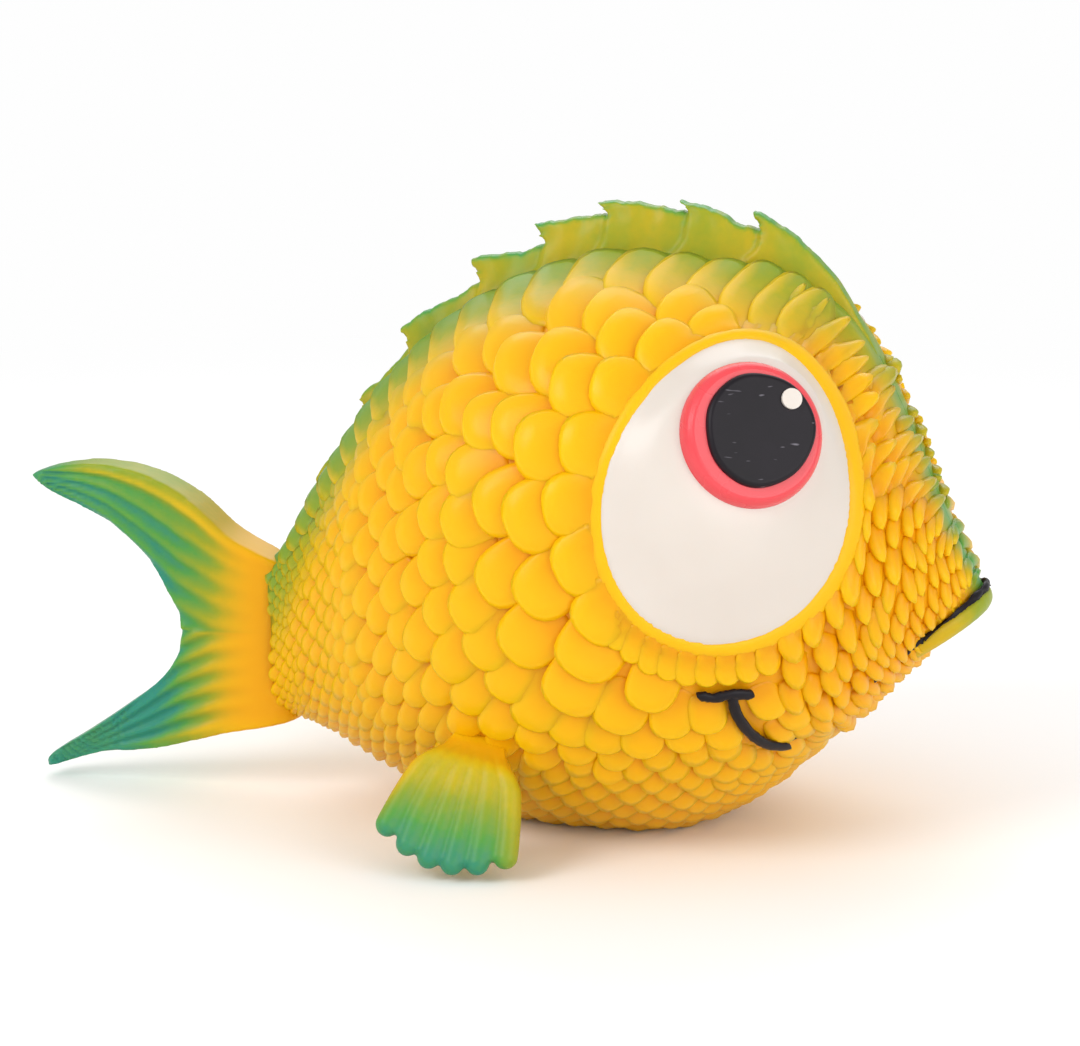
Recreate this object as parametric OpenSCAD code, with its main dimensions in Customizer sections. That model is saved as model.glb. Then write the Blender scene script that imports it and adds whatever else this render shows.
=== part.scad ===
// Squeaky bath toy: a hollow latex fish with bulging painted eyes, flexing fins and a reed squeaker.
// The fish swims along +X and stands on Z = 0 on the flat of its belly. Its right side faces -Y.
// The casting is divided where it flexes: two flanks that press in, a tail and two breast fins.

/* [Body] */
// Length of the scaled body, from the tail root to the nose
body_length = 100; // [90:1:110]
// Height of the back above the floor, without the crest
body_height = 78; // [70:1:86]
// Width across the flanks
body_width = 76; // [70:1:84]
// Thickness of the latex wall
wall = 2.6; // [2.2:0.1:3]

/* [Flanks] */
// How far each flank is pressed in when the toy is squeezed
squeeze_travel = 5; // [3:0.5:5]
// Half the length of the part of a flank that gives way
flank_half_length = 34; // [31:0.5:34.5]
// Thickness of a flank, measured straight across the body
flank_thickness = 3.2; // [2.6:0.1:3.6]
// Width of a cast scale in the middle of a flank
scale_width = 8.2; // [7:0.1:10]

/* [Tail] */
// Length of the tail fin behind the body
tail_length = 36; // [30:1:42]
// Height of the tail fin from one lobe's tip to the other
tail_height = 44; // [38:1:48]
// Thickness of the tail at the body
tail_root_thickness = 8; // [7:0.5:9]
// Thickness of the tail at its tips
tail_edge_thickness = 3; // [2:0.5:4]
// Height of the lower lobe's tip above the floor
tail_clearance = 2.3; // [1.5:0.1:4]

/* [Crest] */
// Height of the smooth crest band above the back
crest_height = 4.2; // [3:0.2:5.4]
// Thickness of the crest where it meets the back
crest_base_thickness = 9; // [7:0.5:10]
// Thickness of the crest at its toothed edge
crest_edge_thickness = 2.4; // [1.8:0.2:3.2]
// How far a tooth stands above the crest band
tooth_rise = 3; // [2:0.2:4]
// How far a tooth's tip leans back over its notch
tooth_overhang = 1.2; // [0.6:0.1:1.6]

/* [Eyes] */
// Height of the egg-shaped eye white
eye_height = 38.6; // [34:0.2:38.6]
// Width of the eye white
eye_width = 30.6; // [28:0.2:31]
// Thickness of the eye white under the iris
eye_thickness = 1.2; // [1:0.1:1.6]
// Thickness of the eye white at its rim
eye_rim_thickness = 0.8; // [0.6:0.1:1]
// Diameter of the iris boss at its foot
iris_diameter = 19.2; // [17:0.2:19.8]
// Height of the iris boss
iris_height = 3.2; // [2.8:0.2:6]
// Diameter of the pupil
pupil_diameter = 14.8; // [12:0.2:15]
// Thickness of the pupil's raised disc
pupil_thickness = 0.9; // [0.6:0.1:1.4]
// Diameter of the catchlight dot
catchlight_diameter = 2.7; // [2:0.1:3.4]
// Thickness of a coat of paint that stands on the surface
paint_thickness = 0.4; // [0.3:0.05:0.6]

/* [Breast fins] */
// Length of a breast fin from its hinge line to its longest rib's end
fin_length = 18.8; // [15:0.2:19]
// Width of a breast fin at its root
fin_root_width = 12; // [10:0.5:13]
// Width of a breast fin across the ends of its outer ribs
fin_tip_width = 16; // [13:0.5:17]
// Thickness of the web between the ribs
fin_web_thickness = 2; // [1.6:0.1:2.4]
// Diameter of a rib
fin_rib_diameter = 3.1; // [2.6:0.1:3.2]
// Number of ribs
fin_ribs = 6; // [5:1:7]
// Diameter of the bead along the fin's root
fin_root_diameter = 4.2; // [3.6:0.2:4.6]

/* [Mouth] */
// Radius of the curve of the lower lip, seen along the chin
lip_curve_radius = 8.4; // [8:0.1:9]
// Diameter of the rolled lower lip
lip_diameter = 3.8; // [3.4:0.2:4.4]
// Width of the painted mouth line
mouth_line_width = 1.9; // [1.4:0.1:2.2]

/* [Squeaker] */
// Outer diameter of the squeaker's barrel
barrel_diameter = 11; // [9:0.2:11.4]
// Length of the barrel above its flange
barrel_length = 10; // [9:0.5:12]
// Wall of the barrel
barrel_wall = 1; // [0.8:0.1:1.2]
// Diameter of the flange that stops the squeaker at the belly
flange_diameter = 14; // [12.6:0.2:14.4]
// Thickness of the flange
flange_thickness = 1.2; // [1:0.1:1.4]
// Diameter of the air hole in the flange
air_hole_diameter = 3; // [2:0.2:3.6]
// Thickness of the barrel's cap
cap_thickness = 1.4; // [1.2:0.1:1.8]
// Diameter of the tube that the reed beats on
reed_tube_diameter = 4.4; // [4:0.1:4.8]
// Wall of the reed tube
reed_tube_wall = 0.6; // [0.5:0.05:0.7]
// Free length of the reed tube above the barrel's floor
reed_tube_length = 8.4; // [7:0.2:8.4]
// Width of the reed
reed_width = 2.6; // [2:0.1:3]
// Thickness of the reed
reed_thickness = 0.25; // [0.2:0.05:0.4]
// Outer diameter of the latex neck that grips the barrel
neck_diameter = 17; // [16:0.2:18]
// Height of the neck inside the belly
neck_height = 8; // [6:0.5:9]

/* [Hidden] */

latex_yellow = "#fbc218";
crest_green = "#a3b83f";
fin_green = "#93b24a";
enamel_white = "#f3e8de";
enamel_pink = "#f4676c";
enamel_black = "#2e2a30";
squeaker_white = "#efeee8";
reed_brass = "#c9a85a";

overrun = 1;             // how far a cut runs past the face that it opens
running_gap = 0.3;       // between two pieces that move past each other
paint_sink = 1.2;        // how far painted pieces are sunk before the latex under them is cut away
fit_gap = 0.05;          // between two round pieces that are fitted together
nose_x = (body_length + tail_length) / 2;
root_x = nose_x - body_length;

// Rows of the body's form from the tail root to the nose. The shares are: place along the body, then the back,
// the belly and the widest height over the body's height, the half width over half the body's width, the
// fullness of the section above its widest height, and how blunt its ridge is.
body_shares = [
  [0.00, 0.424, 0.147, 0.285, 0.125, 2.2, 0.60],
  [0.08, 0.586, 0.125, 0.345, 0.345, 2.3, 0.64],
  [0.17, 0.756, 0.072, 0.420, 0.600, 2.5, 0.62],
  [0.28, 0.888, 0.020, 0.490, 0.830, 2.8, 0.58],
  [0.40, 0.968, -0.010, 0.530, 0.965, 3.0, 0.54],
  [0.50, 1.000, -0.018, 0.540, 1.000, 3.2, 0.50],
  [0.60, 0.994, -0.006, 0.545, 0.985, 3.2, 0.50],
  [0.70, 0.968, 0.056, 0.550, 0.915, 3.2, 0.50],
  [0.78, 0.912, 0.146, 0.545, 0.795, 3.0, 0.50],
  [0.85, 0.806, 0.236, 0.525, 0.640, 2.8, 0.50],
  [0.91, 0.672, 0.314, 0.495, 0.460, 2.6, 0.50],
  [0.96, 0.548, 0.374, 0.460, 0.270, 2.4, 0.50],
  [1.00, 0.430, 0.410, 0.420, 0.030, 2.4, 0.50],
];
belly_power = 2.2;       // how full the section is below its widest height
outer_steps = 38;        // rings along the outer skin
outer_sides = 36;        // points round it
inner_steps = 20;        // rings along the cavity
inner_sides = 24;        // points round it
ring_crowding = 0.8;     // draws the rings closer towards the nose
cavity_rear_share = 0.08;  // where the cavity starts along the body
cavity_nose_share = 0.95;  // and where it ends

// Catmull-Rom curve between the rows of a table whose first column is the place
function row_before(table, u, i = 0) =
  (i >= len(table) - 2 || table[i + 1][0] >= u) ? i : row_before(table, u, i + 1);
function row_at(table, i) = table[max(0, min(len(table) - 1, i))];
function curve(a, b, c, d, t) =
  (2 * b + (c - a) * t + (2 * a - 5 * b + 4 * c - d) * t * t + (3 * b - a - 3 * c + d) * t * t * t) / 2;
function table_value(table, u) =
  let (i = row_before(table, u), b = table[i], c = table[i + 1], t = (u - b[0]) / (c[0] - b[0]))
  curve(row_at(table, i - 1), b, c, row_at(table, i + 2), t);

// The body's form at a place along X
function form_at(x) = table_value(body_shares, max(0, min(1, (x - root_x) / body_length)));
function back_at(x) = form_at(x)[1] * body_height;
function belly_at(x) = form_at(x)[2] * body_height;
function widest_at(x) = form_at(x)[3] * body_height;
function section_share(rise, power, root) = pow(max(0, 1 - pow(min(1, rise), power)), root);

// Half width of the body at a point of its side view
function flank_at(x, z) =
  let (form = form_at(x), middle = form[3] * body_height, up = z >= middle,
       end = (up ? form[1] : form[2]) * body_height, rise = abs(z - middle) / abs(end - middle))
  form[4] * body_width / 2 * section_share(rise, up ? form[5] : belly_power, up ? form[6] : 0.5);

// One ring of the skin, drawn in by an inset
function skin_ring(x, sides, inset) =
  let (form = form_at(x), back = form[1] * body_height - inset, middle = form[3] * body_height,
       belly = form[2] * body_height + inset, low = inset > 0 ? max(belly, inset) : belly,
       half = form[4] * body_width / 2 - inset)
  [for (i = [0 : sides - 1])
    let (a = 360 * i / sides, up = sin(a) >= 0, rise = abs(sin(a)),
         side = section_share(rise, up ? form[5] : belly_power, up ? form[6] : 0.5))
    [x, half * side * sign(cos(a)), middle + (up ? back - middle : middle - low) * sin(a)]];

// A closed tube through rings that each have the same number of points
module ring_solid(rings) {
  sides = len(rings[0]);
  last = len(rings) - 1;
  walls = [for (k = [0 : last - 1], i = [0 : sides - 1])
    let (j = (i + 1) % sides, a = k * sides + i, b = k * sides + j, c = a + sides, d = b + sides)
    each [[a, c, b], [b, c, d]]];
  first_cap = [for (i = [0 : sides - 1]) i];
  last_cap = [for (i = [sides - 1 : -1 : 0]) last * sides + i];
  polyhedron([for (ring = rings) each ring], concat(walls, [first_cap, last_cap]));
}

// A closed leaf between an outer and an inner face, each a middle point and rings round it
module leaf_solid(outer_middle, outer_rings, inner_middle, inner_rings) {
  sides = len(outer_rings[0]);
  count = len(outer_rings);
  under = 1 + count * sides;
  rim = 1 + (count - 1) * sides;
  points = concat([outer_middle], [for (ring = outer_rings) each ring],
                  [inner_middle], [for (ring = inner_rings) each ring]);
  faces = [for (i = [0 : sides - 1])
    let (j = (i + 1) % sides)
    each concat(
      [[0, 1 + j, 1 + i], [under, under + 1 + i, under + 1 + j]],
      [for (k = [0 : 1 : count - 2])
        let (a = 1 + k * sides + i, b = 1 + k * sides + j, c = a + sides, d = b + sides)
        each [[a, b, c], [b, d, c], [under + a, under + c, under + b], [under + b, under + c, under + d]]],
      [[rim + i, rim + j, under + rim + i], [rim + j, under + rim + j, under + rim + i]])];
  polyhedron(points, faces);
}

module outer_skin() {
  ring_solid([for (k = [0 : outer_steps])
    skin_ring(root_x + body_length * pow(k / outer_steps, ring_crowding), outer_sides, 0)]);
}

// The flank that gives way: its outline is a rounded square in the body's own shares
flank_x_share = 0.555;        // its middle along the body
flank_top_share = 0.915;      // its reach from the widest height towards the back
flank_bottom_share = 0.86;   // and towards the belly
flank_squareness = 3.6;      // power of its outline
flank_sides = 48;
flank_ring_shares = [0.22, 0.42, 0.6, 0.76, 0.89, 1];
under_paint_factor = 3;      // depth of the latex cut from under painted pieces, over the flank's thickness
flank_x = root_x + flank_x_share * body_length;
function rounded_square(value) = sign(value) * pow(abs(value), 2 / flank_squareness);
function flank_point(reach, a) =
  let (x = flank_x + flank_half_length * reach * rounded_square(cos(a)), rise = reach * rounded_square(sin(a)),
       middle = widest_at(x))
  [x, middle + rise * (rise > 0 ? flank_top_share * (back_at(x) - middle)
                                : flank_bottom_share * (middle - belly_at(x)))];
function on_flank(point, stand = 0) = [point[0], -flank_at(point[0], point[1]) - stand, point[1]];

// The opening is deep enough for the flank's inner face at the end of its travel
flank_gap_factor = 1.15;     // widens the opening's scale where its outline is nearest to the middle
flank_outline = [for (i = [0 : flank_sides - 1]) flank_point(1, 360 * i / flank_sides)];
flank_least_reach = min([for (p = flank_outline) flank_at(p[0], p[1])]);
opening_depth = flank_least_reach - flank_thickness - squeeze_travel - running_gap;

module flank_opening() {
  reach = 1 + flank_gap_factor * running_gap / flank_half_length;
  translate([0, -opening_depth, 0])
    rotate([90, 0, 0])
      linear_extrude(body_width)
        polygon([for (i = [0 : flank_sides - 1]) flank_point(reach, 360 * i / flank_sides)]);
}

// The breast fin's hinge line lies on the lower flank
fin_x_share = 0.36;          // its middle along the body
fin_z_share = 0.222;         // its height over the body's height
fin_pitch = 12.4;            // slope of the root, down towards the nose
fin_splay = 30;              // angle of the fin out from straight down
fin_stand_share = 0.75;      // how far the root bead's axis stands off the flank, over its radius
fin_x = root_x + fin_x_share * body_length;
fin_z = fin_z_share * body_height;
fin_place = on_flank([fin_x, fin_z], fin_stand_share * fin_root_diameter / 2);

module fin_seat() {
  translate(fin_place)
    rotate([0, 90 + fin_pitch, 0])
      cylinder(h = fin_root_width + 2 * running_gap, d = fin_root_diameter + 2 * running_gap, center = true, $fn = 40);
}

// The squeaker sits upright in the belly
squeaker_x_share = 0.48;
squeaker_x = root_x + squeaker_x_share * body_length;
bore_diameter = barrel_diameter + 2 * fit_gap;
barrel_floor = flange_thickness;
flange_recess = 0.2;         // how far the flange lies above the floor
cap_z = flange_recess + flange_thickness + barrel_length;
reed_root_z = flange_recess + flange_thickness;

module neck_bore() {
  translate([squeaker_x, 0, -overrun])
    cylinder(h = neck_height + wall + 2 * overrun, d = bore_diameter, $fn = 64);
  translate([squeaker_x, 0, -overrun])
    cylinder(h = overrun + flange_recess + flange_thickness + fit_gap, d = flange_diameter + 2 * fit_gap, $fn = 64);
}

module body_shell() {
  cavity_length = (cavity_nose_share - cavity_rear_share) * body_length;
  cavity_x = root_x + cavity_rear_share * body_length;
  color(latex_yellow)
    difference() {
      union() {
        outer_skin();
        shell_scales();
        left_side() shell_scales();
      }
      difference() {
        ring_solid([for (k = [0 : inner_steps])
          skin_ring(cavity_x + cavity_length * pow(k / inner_steps, ring_crowding), inner_sides, wall)]);
        translate([squeaker_x, 0, -overrun])
          cylinder(h = neck_height + overrun, d = neck_diameter, $fn = 64);
      }
      flank_opening();
      mirror([0, 1, 0]) flank_opening();
      neck_bore();
      translate([root_x, -body_width / 2, -body_height])
        cube([body_length, body_width, body_height]);
    }
}

module flank_leaf(depth) {
  function ring(reach, stand) =
    [for (i = [0 : flank_sides - 1]) on_flank(flank_point(reach, 360 * i / flank_sides), stand)];
  middle = flank_point(0, 0);
  leaf_solid(on_flank(middle), [for (reach = flank_ring_shares) ring(reach, 0)],
             on_flank(middle, -depth), [for (reach = flank_ring_shares) ring(reach, -depth)]);
}

module flank() {
  color(latex_yellow)
    difference() {
      union() {
        flank_leaf(flank_thickness);
        flank_scales();
      }
      fin_seat();
    }
}

// The crest runs along the back from the tail root to the forehead. Each tooth has a tip and, behind it, a notch.
crest_sink = 3.4;            // how far the crest reaches down beside the ridge
crest_rear_share = 0.03;
crest_front_share = 0.93;
tooth_tip_shares = [0.055, 0.12, 0.18, 0.28, 0.37, 0.458, 0.57, 0.67];
tooth_length_share = 0.62;   // where a tooth's slope has fallen to half, towards the next tooth
function band_share(u) = pow(max(0, min(1, (u - crest_rear_share) / 0.16, (crest_front_share - u) / 0.3)), 0.6);
function crest_station(u, top_u, rise) =
  let (x = root_x + u * body_length, top_x = root_x + top_u * body_length,
       band = 0.4 + crest_height * band_share(u))
  [[x, crest_base_thickness / 2 * (0.35 + 0.65 * band_share(u)), back_at(x) - crest_sink],
   [top_x, crest_edge_thickness / 2, back_at(top_x) + band + rise]];
function tooth_stations(i) =
  let (tip = tooth_tip_shares[i], lean = tooth_overhang / body_length,
       next = i < len(tooth_tip_shares) - 1 ? tooth_tip_shares[i + 1] : tip + 0.1,
       size = tooth_rise * (i < 2 ? 0.5 : i < 3 ? 0.75 : 1), half_way = tip + tooth_length_share * (next - tip))
  [crest_station(tip - lean / 2, tip + lean, 0),
   crest_station(tip + lean / 2, tip, size),
   crest_station((tip + half_way) / 2, (tip + half_way) / 2, size * 0.62),
   crest_station(half_way, half_way, size * 0.2)];
crest_front_shares = [0.75, 0.8, 0.85, 0.89, 0.93];

module dorsal_crest() {
  stations = concat([crest_station(crest_rear_share, crest_rear_share, 0)],
                    [for (i = [0 : len(tooth_tip_shares) - 1]) each tooth_stations(i)],
                    [for (u = crest_front_shares) crest_station(u, u, 0)]);
  color(crest_green)
    difference() {
      ring_solid([for (station = stations)
        let (base = station[0], top = station[1])
        [[base[0], base[1], base[2]], [top[0], top[1], top[2]],
         [top[0], -top[1], top[2]], [base[0], -base[1], base[2]]]]);
      outer_skin();
    }
}

// The lower lip is rolled round the chin, and the mouth line is painted along its upper side
lip_nose_inset = 1.2;        // how far the lip's middle line passes behind the tip of the nose
lip_nose_drop = 0.3;         // and below it
lip_tilt = 33;               // rise of the lip towards the nose
mouth_line_out = 1.6;        // how far the mouth line runs outside the lip's middle
mouth_line_up = 1;           // and above it
chin_sweep = 200;            // how far the lip turns round the chin
chin_steps = 20;
chin_sides = 10;

module chin_roll(out, lift, diameter) {
  function roll_ring(turn) =
    [for (i = [0 : chin_sides - 1])
      let (a = -360 * i / chin_sides, reach = lip_curve_radius + out + diameter / 2 * cos(a))
      [reach * cos(turn), reach * sin(turn), lift + diameter / 2 * sin(a)]];
  translate([nose_x - lip_nose_inset - lip_curve_radius * cos(lip_tilt), 0,
             widest_at(nose_x) - lip_nose_drop - lip_curve_radius * sin(lip_tilt)])
    rotate([0, -lip_tilt, 0])
      ring_solid([for (k = [0 : chin_steps]) roll_ring(chin_sweep * (k / chin_steps - 0.5))]);
}

module lower_lip() {
  color(crest_green)
    difference() {
      chin_roll(0, 0, lip_diameter);
      outer_skin();
    }
}

module mouth_line() {
  color(enamel_black)
    difference() {
      chin_roll(mouth_line_out, mouth_line_up, mouth_line_width);
      outer_skin();
      chin_roll(0, 0, lip_diameter);
    }
}

module squeaker_barrel() {
  color(squeaker_white)
    translate([squeaker_x, 0, flange_recess])
      difference() {
        union() {
          cylinder(h = flange_thickness, d = flange_diameter, $fn = 64);
          cylinder(h = flange_thickness + barrel_length, d = barrel_diameter, $fn = 64);
        }
        translate([0, 0, barrel_floor])
          cylinder(h = barrel_length + overrun, d = barrel_diameter - 2 * barrel_wall, $fn = 64);
        translate([0, 0, -overrun])
          cylinder(h = barrel_floor + 2 * overrun, d = reed_tube_diameter + 2 * fit_gap, $fn = 48);
      }
}

// The cap closes the barrel's top and has four air holes
module squeaker_cap() {
  air_hole_ring = (barrel_diameter - 2 * barrel_wall) / 4 + air_hole_diameter / 8;
  color(squeaker_white)
    translate([squeaker_x, 0, cap_z])
      difference() {
        union() {
          cylinder(h = cap_thickness, d = barrel_diameter, $fn = 64);
          translate([0, 0, -cap_thickness / 2])
            cylinder(h = cap_thickness, d = barrel_diameter - 2 * barrel_wall - 2 * fit_gap, $fn = 64);
        }
        for (i = [0 : 3])
          rotate([0, 0, 45 + 90 * i])
            translate([air_hole_ring, 0, -cap_thickness - overrun])
              cylinder(h = 2 * cap_thickness + 2 * overrun, d = air_hole_diameter / 2, $fn = 32);
      }
}

// The reed tube is closed at its top and cut flat on one side, where the reed lies over its slot
reed_flat_share = 0.3;       // where the flat lies, over the tube's diameter
reed_slot_width = 1.4;
reed_slot_length = 5;
reed_clip_height = 1.6;      // the reed bends where it leaves the clip
reed_flat_x = reed_flat_share * reed_tube_diameter;
reed_foot = 0.3;             // how far the reed starts above the barrel's floor

module tube_with_flat(height, diameter) {
  difference() {
    cylinder(h = height, d = diameter, $fn = 48);
    translate([reed_flat_x, -diameter, reed_foot])
      cube([diameter, 2 * diameter, height]);
  }
}

module reed_tube() {
  color(squeaker_white)
    translate([squeaker_x, 0, flange_recess])
      difference() {
        union() {
          cylinder(h = barrel_floor, d = reed_tube_diameter, $fn = 48);
          translate([0, 0, barrel_floor]) tube_with_flat(reed_tube_length, reed_tube_diameter);
        }
        translate([0, 0, -overrun])
          cylinder(h = overrun + barrel_floor + reed_tube_length - reed_tube_wall,
                   d = reed_tube_diameter - 2 * reed_tube_wall - 2 * (reed_tube_diameter / 2 - reed_flat_x) / 2, $fn = 48);
        translate([0, -reed_slot_width / 2, barrel_floor + reed_clip_height + reed_foot])
          cube([reed_tube_diameter, reed_slot_width, reed_slot_length]);
      }
}

// The clip is a collar pressed round the foot of the tube and the reed
module reed_clip() {
  reed_side = reed_flat_x + reed_thickness + 2 * fit_gap;
  clip_diameter = reed_tube_diameter + 4 * reed_tube_wall;
  color(reed_brass)
    translate([squeaker_x, 0, flange_recess + barrel_floor])
      difference() {
        cylinder(h = reed_clip_height, d = clip_diameter, $fn = 48);
        translate([0, 0, -overrun])
          cylinder(h = reed_clip_height + 2 * overrun, d = reed_tube_diameter + 2 * fit_gap, $fn = 48);
        translate([reed_flat_x, -reed_width / 2 - running_gap, -overrun])
          cube([reed_side - reed_flat_x + running_gap, reed_width + 2 * running_gap, reed_clip_height + 2 * overrun]);
      }
}

module squeaker_reed() {
  color(reed_brass)
    translate([squeaker_x + reed_flat_x + running_gap / 2, -reed_width / 2, reed_root_z + reed_foot])
      cube([reed_thickness, reed_width, reed_tube_length - reed_foot]);
}

// The forked tail: its outline is in shares of the tail's length behind the body and of its height
tail_top_shares = [[0, 0.705], [0.09, 0.757], [0.293, 0.884], [0.496, 0.970], [0.7, 1.0], [0.88, 0.985], [1.0, 0.952]];
tail_fork_shares = [[1.0, 0.952], [0.93, 0.907], [0.675, 0.812], [0.5, 0.688], [0.382, 0.52], [0.392, 0.384],
                    [0.5, 0.274], [0.73, 0.148], [0.945, 0.041], [0.955, 0.0]];
tail_low_shares = [[0.955, 0.0], [0.724, 0.055], [0.515, 0.066], [0.31, 0.109], [0.1, 0.159], [0, 0.184]];
tail_curve_steps = 3;
function smooth_line(points) =
  [for (i = [0 : len(points) - 2], s = [0 : tail_curve_steps - 1])
    curve(row_at(points, i - 1), points[i], points[i + 1], row_at(points, i + 2), s / tail_curve_steps)];
tail_root_x = root_x - running_gap;
tail_hinge_x = tail_root_x - tail_root_thickness / 2;

module tail_fin() {
  outline = concat(smooth_line(tail_top_shares), smooth_line(tail_fork_shares), smooth_line(tail_low_shares),
                   [tail_low_shares[len(tail_low_shares) - 1]]);
  reach = tail_length - running_gap;
  color(fin_green)
    intersection() {
      translate([0, tail_root_thickness, 0])
        rotate([90, 0, 0])
          linear_extrude(2 * tail_root_thickness)
            polygon([for (p = outline) [tail_root_x - p[0] * reach, tail_clearance + p[1] * tail_height]]);
      linear_extrude(2 * tail_height)
        union() {
          translate([tail_hinge_x, 0]) circle(d = tail_root_thickness, $fn = 48);
          polygon([[tail_hinge_x, tail_root_thickness / 2], [tail_root_x - tail_length, tail_edge_thickness / 2],
                   [tail_root_x - tail_length, -tail_edge_thickness / 2], [tail_hinge_x, -tail_root_thickness / 2]]);
        }
    }
}

// The eye white is an egg, wider below, that swells to a flat under the iris
eye_x_share = 0.397;          // its middle ahead of the flank's, over the flank's half length
eye_z_share = 0.661;         // its height over the body's height
iris_x_share = 0.4853;
iris_z_share = 0.768;
eye_egg_share = 0.1;         // how much narrower the egg is above than below
iris_yaw = 28;               // turn of the eye's axis towards the nose
iris_tilt = 20;              // and up
eye_sides = 36;
eye_ring_shares = [0, 0.25, 0.5, 0.75, 1];
eye_flat_margin = 0.35;      // how far the flat reaches past the iris
eye_x = flank_x + eye_x_share * flank_half_length;
eye_z = eye_z_share * body_height;
iris_x = flank_x + iris_x_share * flank_half_length;
iris_z = iris_z_share * body_height;
iris_place = on_flank([iris_x, iris_z], eye_thickness);
function eye_edge(a) = [eye_x + eye_width / 2 * cos(a) * (1 - eye_egg_share * sin(a)), eye_z + eye_height / 2 * sin(a)];
function flat_edge(a) =
  let (radius = iris_diameter / 2 + eye_flat_margin)
  [iris_x + radius * cos(iris_yaw) * cos(a), iris_z + radius * cos(iris_tilt) * sin(a)];
function eye_grid_point(a, share) = (1 - share) * flat_edge(a) + share * eye_edge(a);
function flat_y(point) =
  iris_place[1] + ((point[0] - iris_x) * sin(iris_yaw) * cos(iris_tilt) + (point[1] - iris_z) * sin(iris_tilt))
                / (cos(iris_yaw) * cos(iris_tilt));
function eye_stand(a, share) =
  let (edge = flat_edge(a), at_flat = -flat_y(edge) - flank_at(edge[0], edge[1]), fall = 1 - share)
  eye_rim_thickness + (at_flat - eye_rim_thickness) * fall * fall * (3 - 2 * fall);

module eye_white() {
  function ring(share, outer) =
    [for (i = [0 : eye_sides - 1])
      let (a = 360 * i / eye_sides, point = eye_grid_point(a, share))
      on_flank(point, outer ? eye_stand(a, share) : -paint_sink)];
  color(enamel_white)
    difference() {
      leaf_solid(iris_place, [for (share = eye_ring_shares) ring(share, true)],
                 on_flank([iris_x, iris_z], -paint_sink), [for (share = eye_ring_shares) ring(share, false)]);
      flank_leaf(under_paint_factor * flank_thickness);
    }
}

module on_eye(height) {
  translate(iris_place)
    rotate([90 - iris_tilt, 0, iris_yaw])
      translate([0, 0, height])
        children();
}

// A round boss whose shoulder is a quarter of an ellipse
module shouldered_disc(height, diameter, shoulder) {
  corner_steps = 8;
  rotate_extrude($fn = 96)
    polygon(concat([[0, 0], [diameter / 2, 0]],
                   [for (i = [0 : corner_steps])
                     let (a = 90 * i / corner_steps)
                     [diameter / 2 - shoulder * (1 - cos(a)), height * (1 - 0.85 * (1 - sin(a)))]],
                   [[0, height]]));
}

iris_shoulder = 1.4;
pupil_shoulder = 0.7;
catchlight_share = 0.66;     // how far out on the pupil the catchlight lies
catchlight_turn = 48;        // its direction, up and towards the nose
pupil_forward = 0.55;        // how far the pupil's middle lies from the boss's, towards the nose
pupil_up = 0.3;              // and up

module iris() {
  color(enamel_pink) on_eye(0) shouldered_disc(iris_height, iris_diameter, iris_shoulder);
}

module on_pupil(height) {
  on_eye(iris_height + height)
    translate([pupil_forward, pupil_up, 0])
      children();
}

module pupil() {
  color(enamel_black) on_pupil(0) shouldered_disc(pupil_thickness, pupil_diameter, pupil_shoulder);
}

module catchlight() {
  color(enamel_white)
    on_pupil(pupil_thickness)
      rotate([0, 0, catchlight_turn])
        translate([catchlight_share * pupil_diameter / 2, 0, 0])
          cylinder(h = paint_thickness, d = catchlight_diameter, $fn = 48);
}

// The smile's end is a short bar on the cheek and a stroke that falls from it to the chin. The shares are: place
// ahead of the flank's middle over its half length, height over the body's height, and width over the mouth line's.
smile_bar_shares = [[0.309, 0.328, 0.5], [0.382, 0.329, 1], [0.462, 0.325, 0.4]];
smile_stroke_shares = [[0.421, 0.322, 0.9], [0.441, 0.284, 1.1], [0.485, 0.243, 1.1], [0.538, 0.212, 0.9],
                       [0.591, 0.203, 0.5]];

module painted_stroke(rows) {
  path = [for (row = rows) [flank_x + row[0] * flank_half_length, row[1] * body_height]];
  rings = [for (i = [0 : len(rows) - 1])
    let (ahead = path[min(i + 1, len(path) - 1)] - path[max(i - 1, 0)], way = ahead / norm(ahead),
         side = [-way[1], way[0]] * mouth_line_width / 2 * rows[i][2])
    [on_flank(path[i] + side, paint_thickness), on_flank(path[i] - side, paint_thickness),
     on_flank(path[i] - side, -paint_sink), on_flank(path[i] + side, -paint_sink)]];
  ring_solid(rings);
}

module smile() {
  color(enamel_black)
    difference() {
      union() {
        painted_stroke(smile_bar_shares);
        painted_stroke(smile_stroke_shares);
      }
      flank_leaf(under_paint_factor * flank_thickness);
    }
}

// A rib from one point of the fin's plane to another, with a round end
module fin_rib(from, to) {
  along = to - from;
  translate([from[0], 0, from[1]])
    rotate([0, atan2(along[0], along[1]), 0]) {
      cylinder(h = norm(along), d = fin_rib_diameter, $fn = 32);
      translate([0, 0, norm(along)]) sphere(d = fin_rib_diameter, $fn = 32);
    }
}

fin_corner_share = 0.84;     // length of the outer ribs over the middle ones
function rib_place(i) = 2 * i / (fin_ribs - 1) - 1;
function rib_foot(i) = [rib_place(i) * (fin_root_width - fin_rib_diameter) / 2, -fin_root_diameter / 4];
function rib_end(i) =
  let (place = rib_place(i))
  [place * fin_tip_width / 2, -(fin_length - fin_rib_diameter / 2) * (1 - (1 - fin_corner_share) * place * place)];

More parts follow.
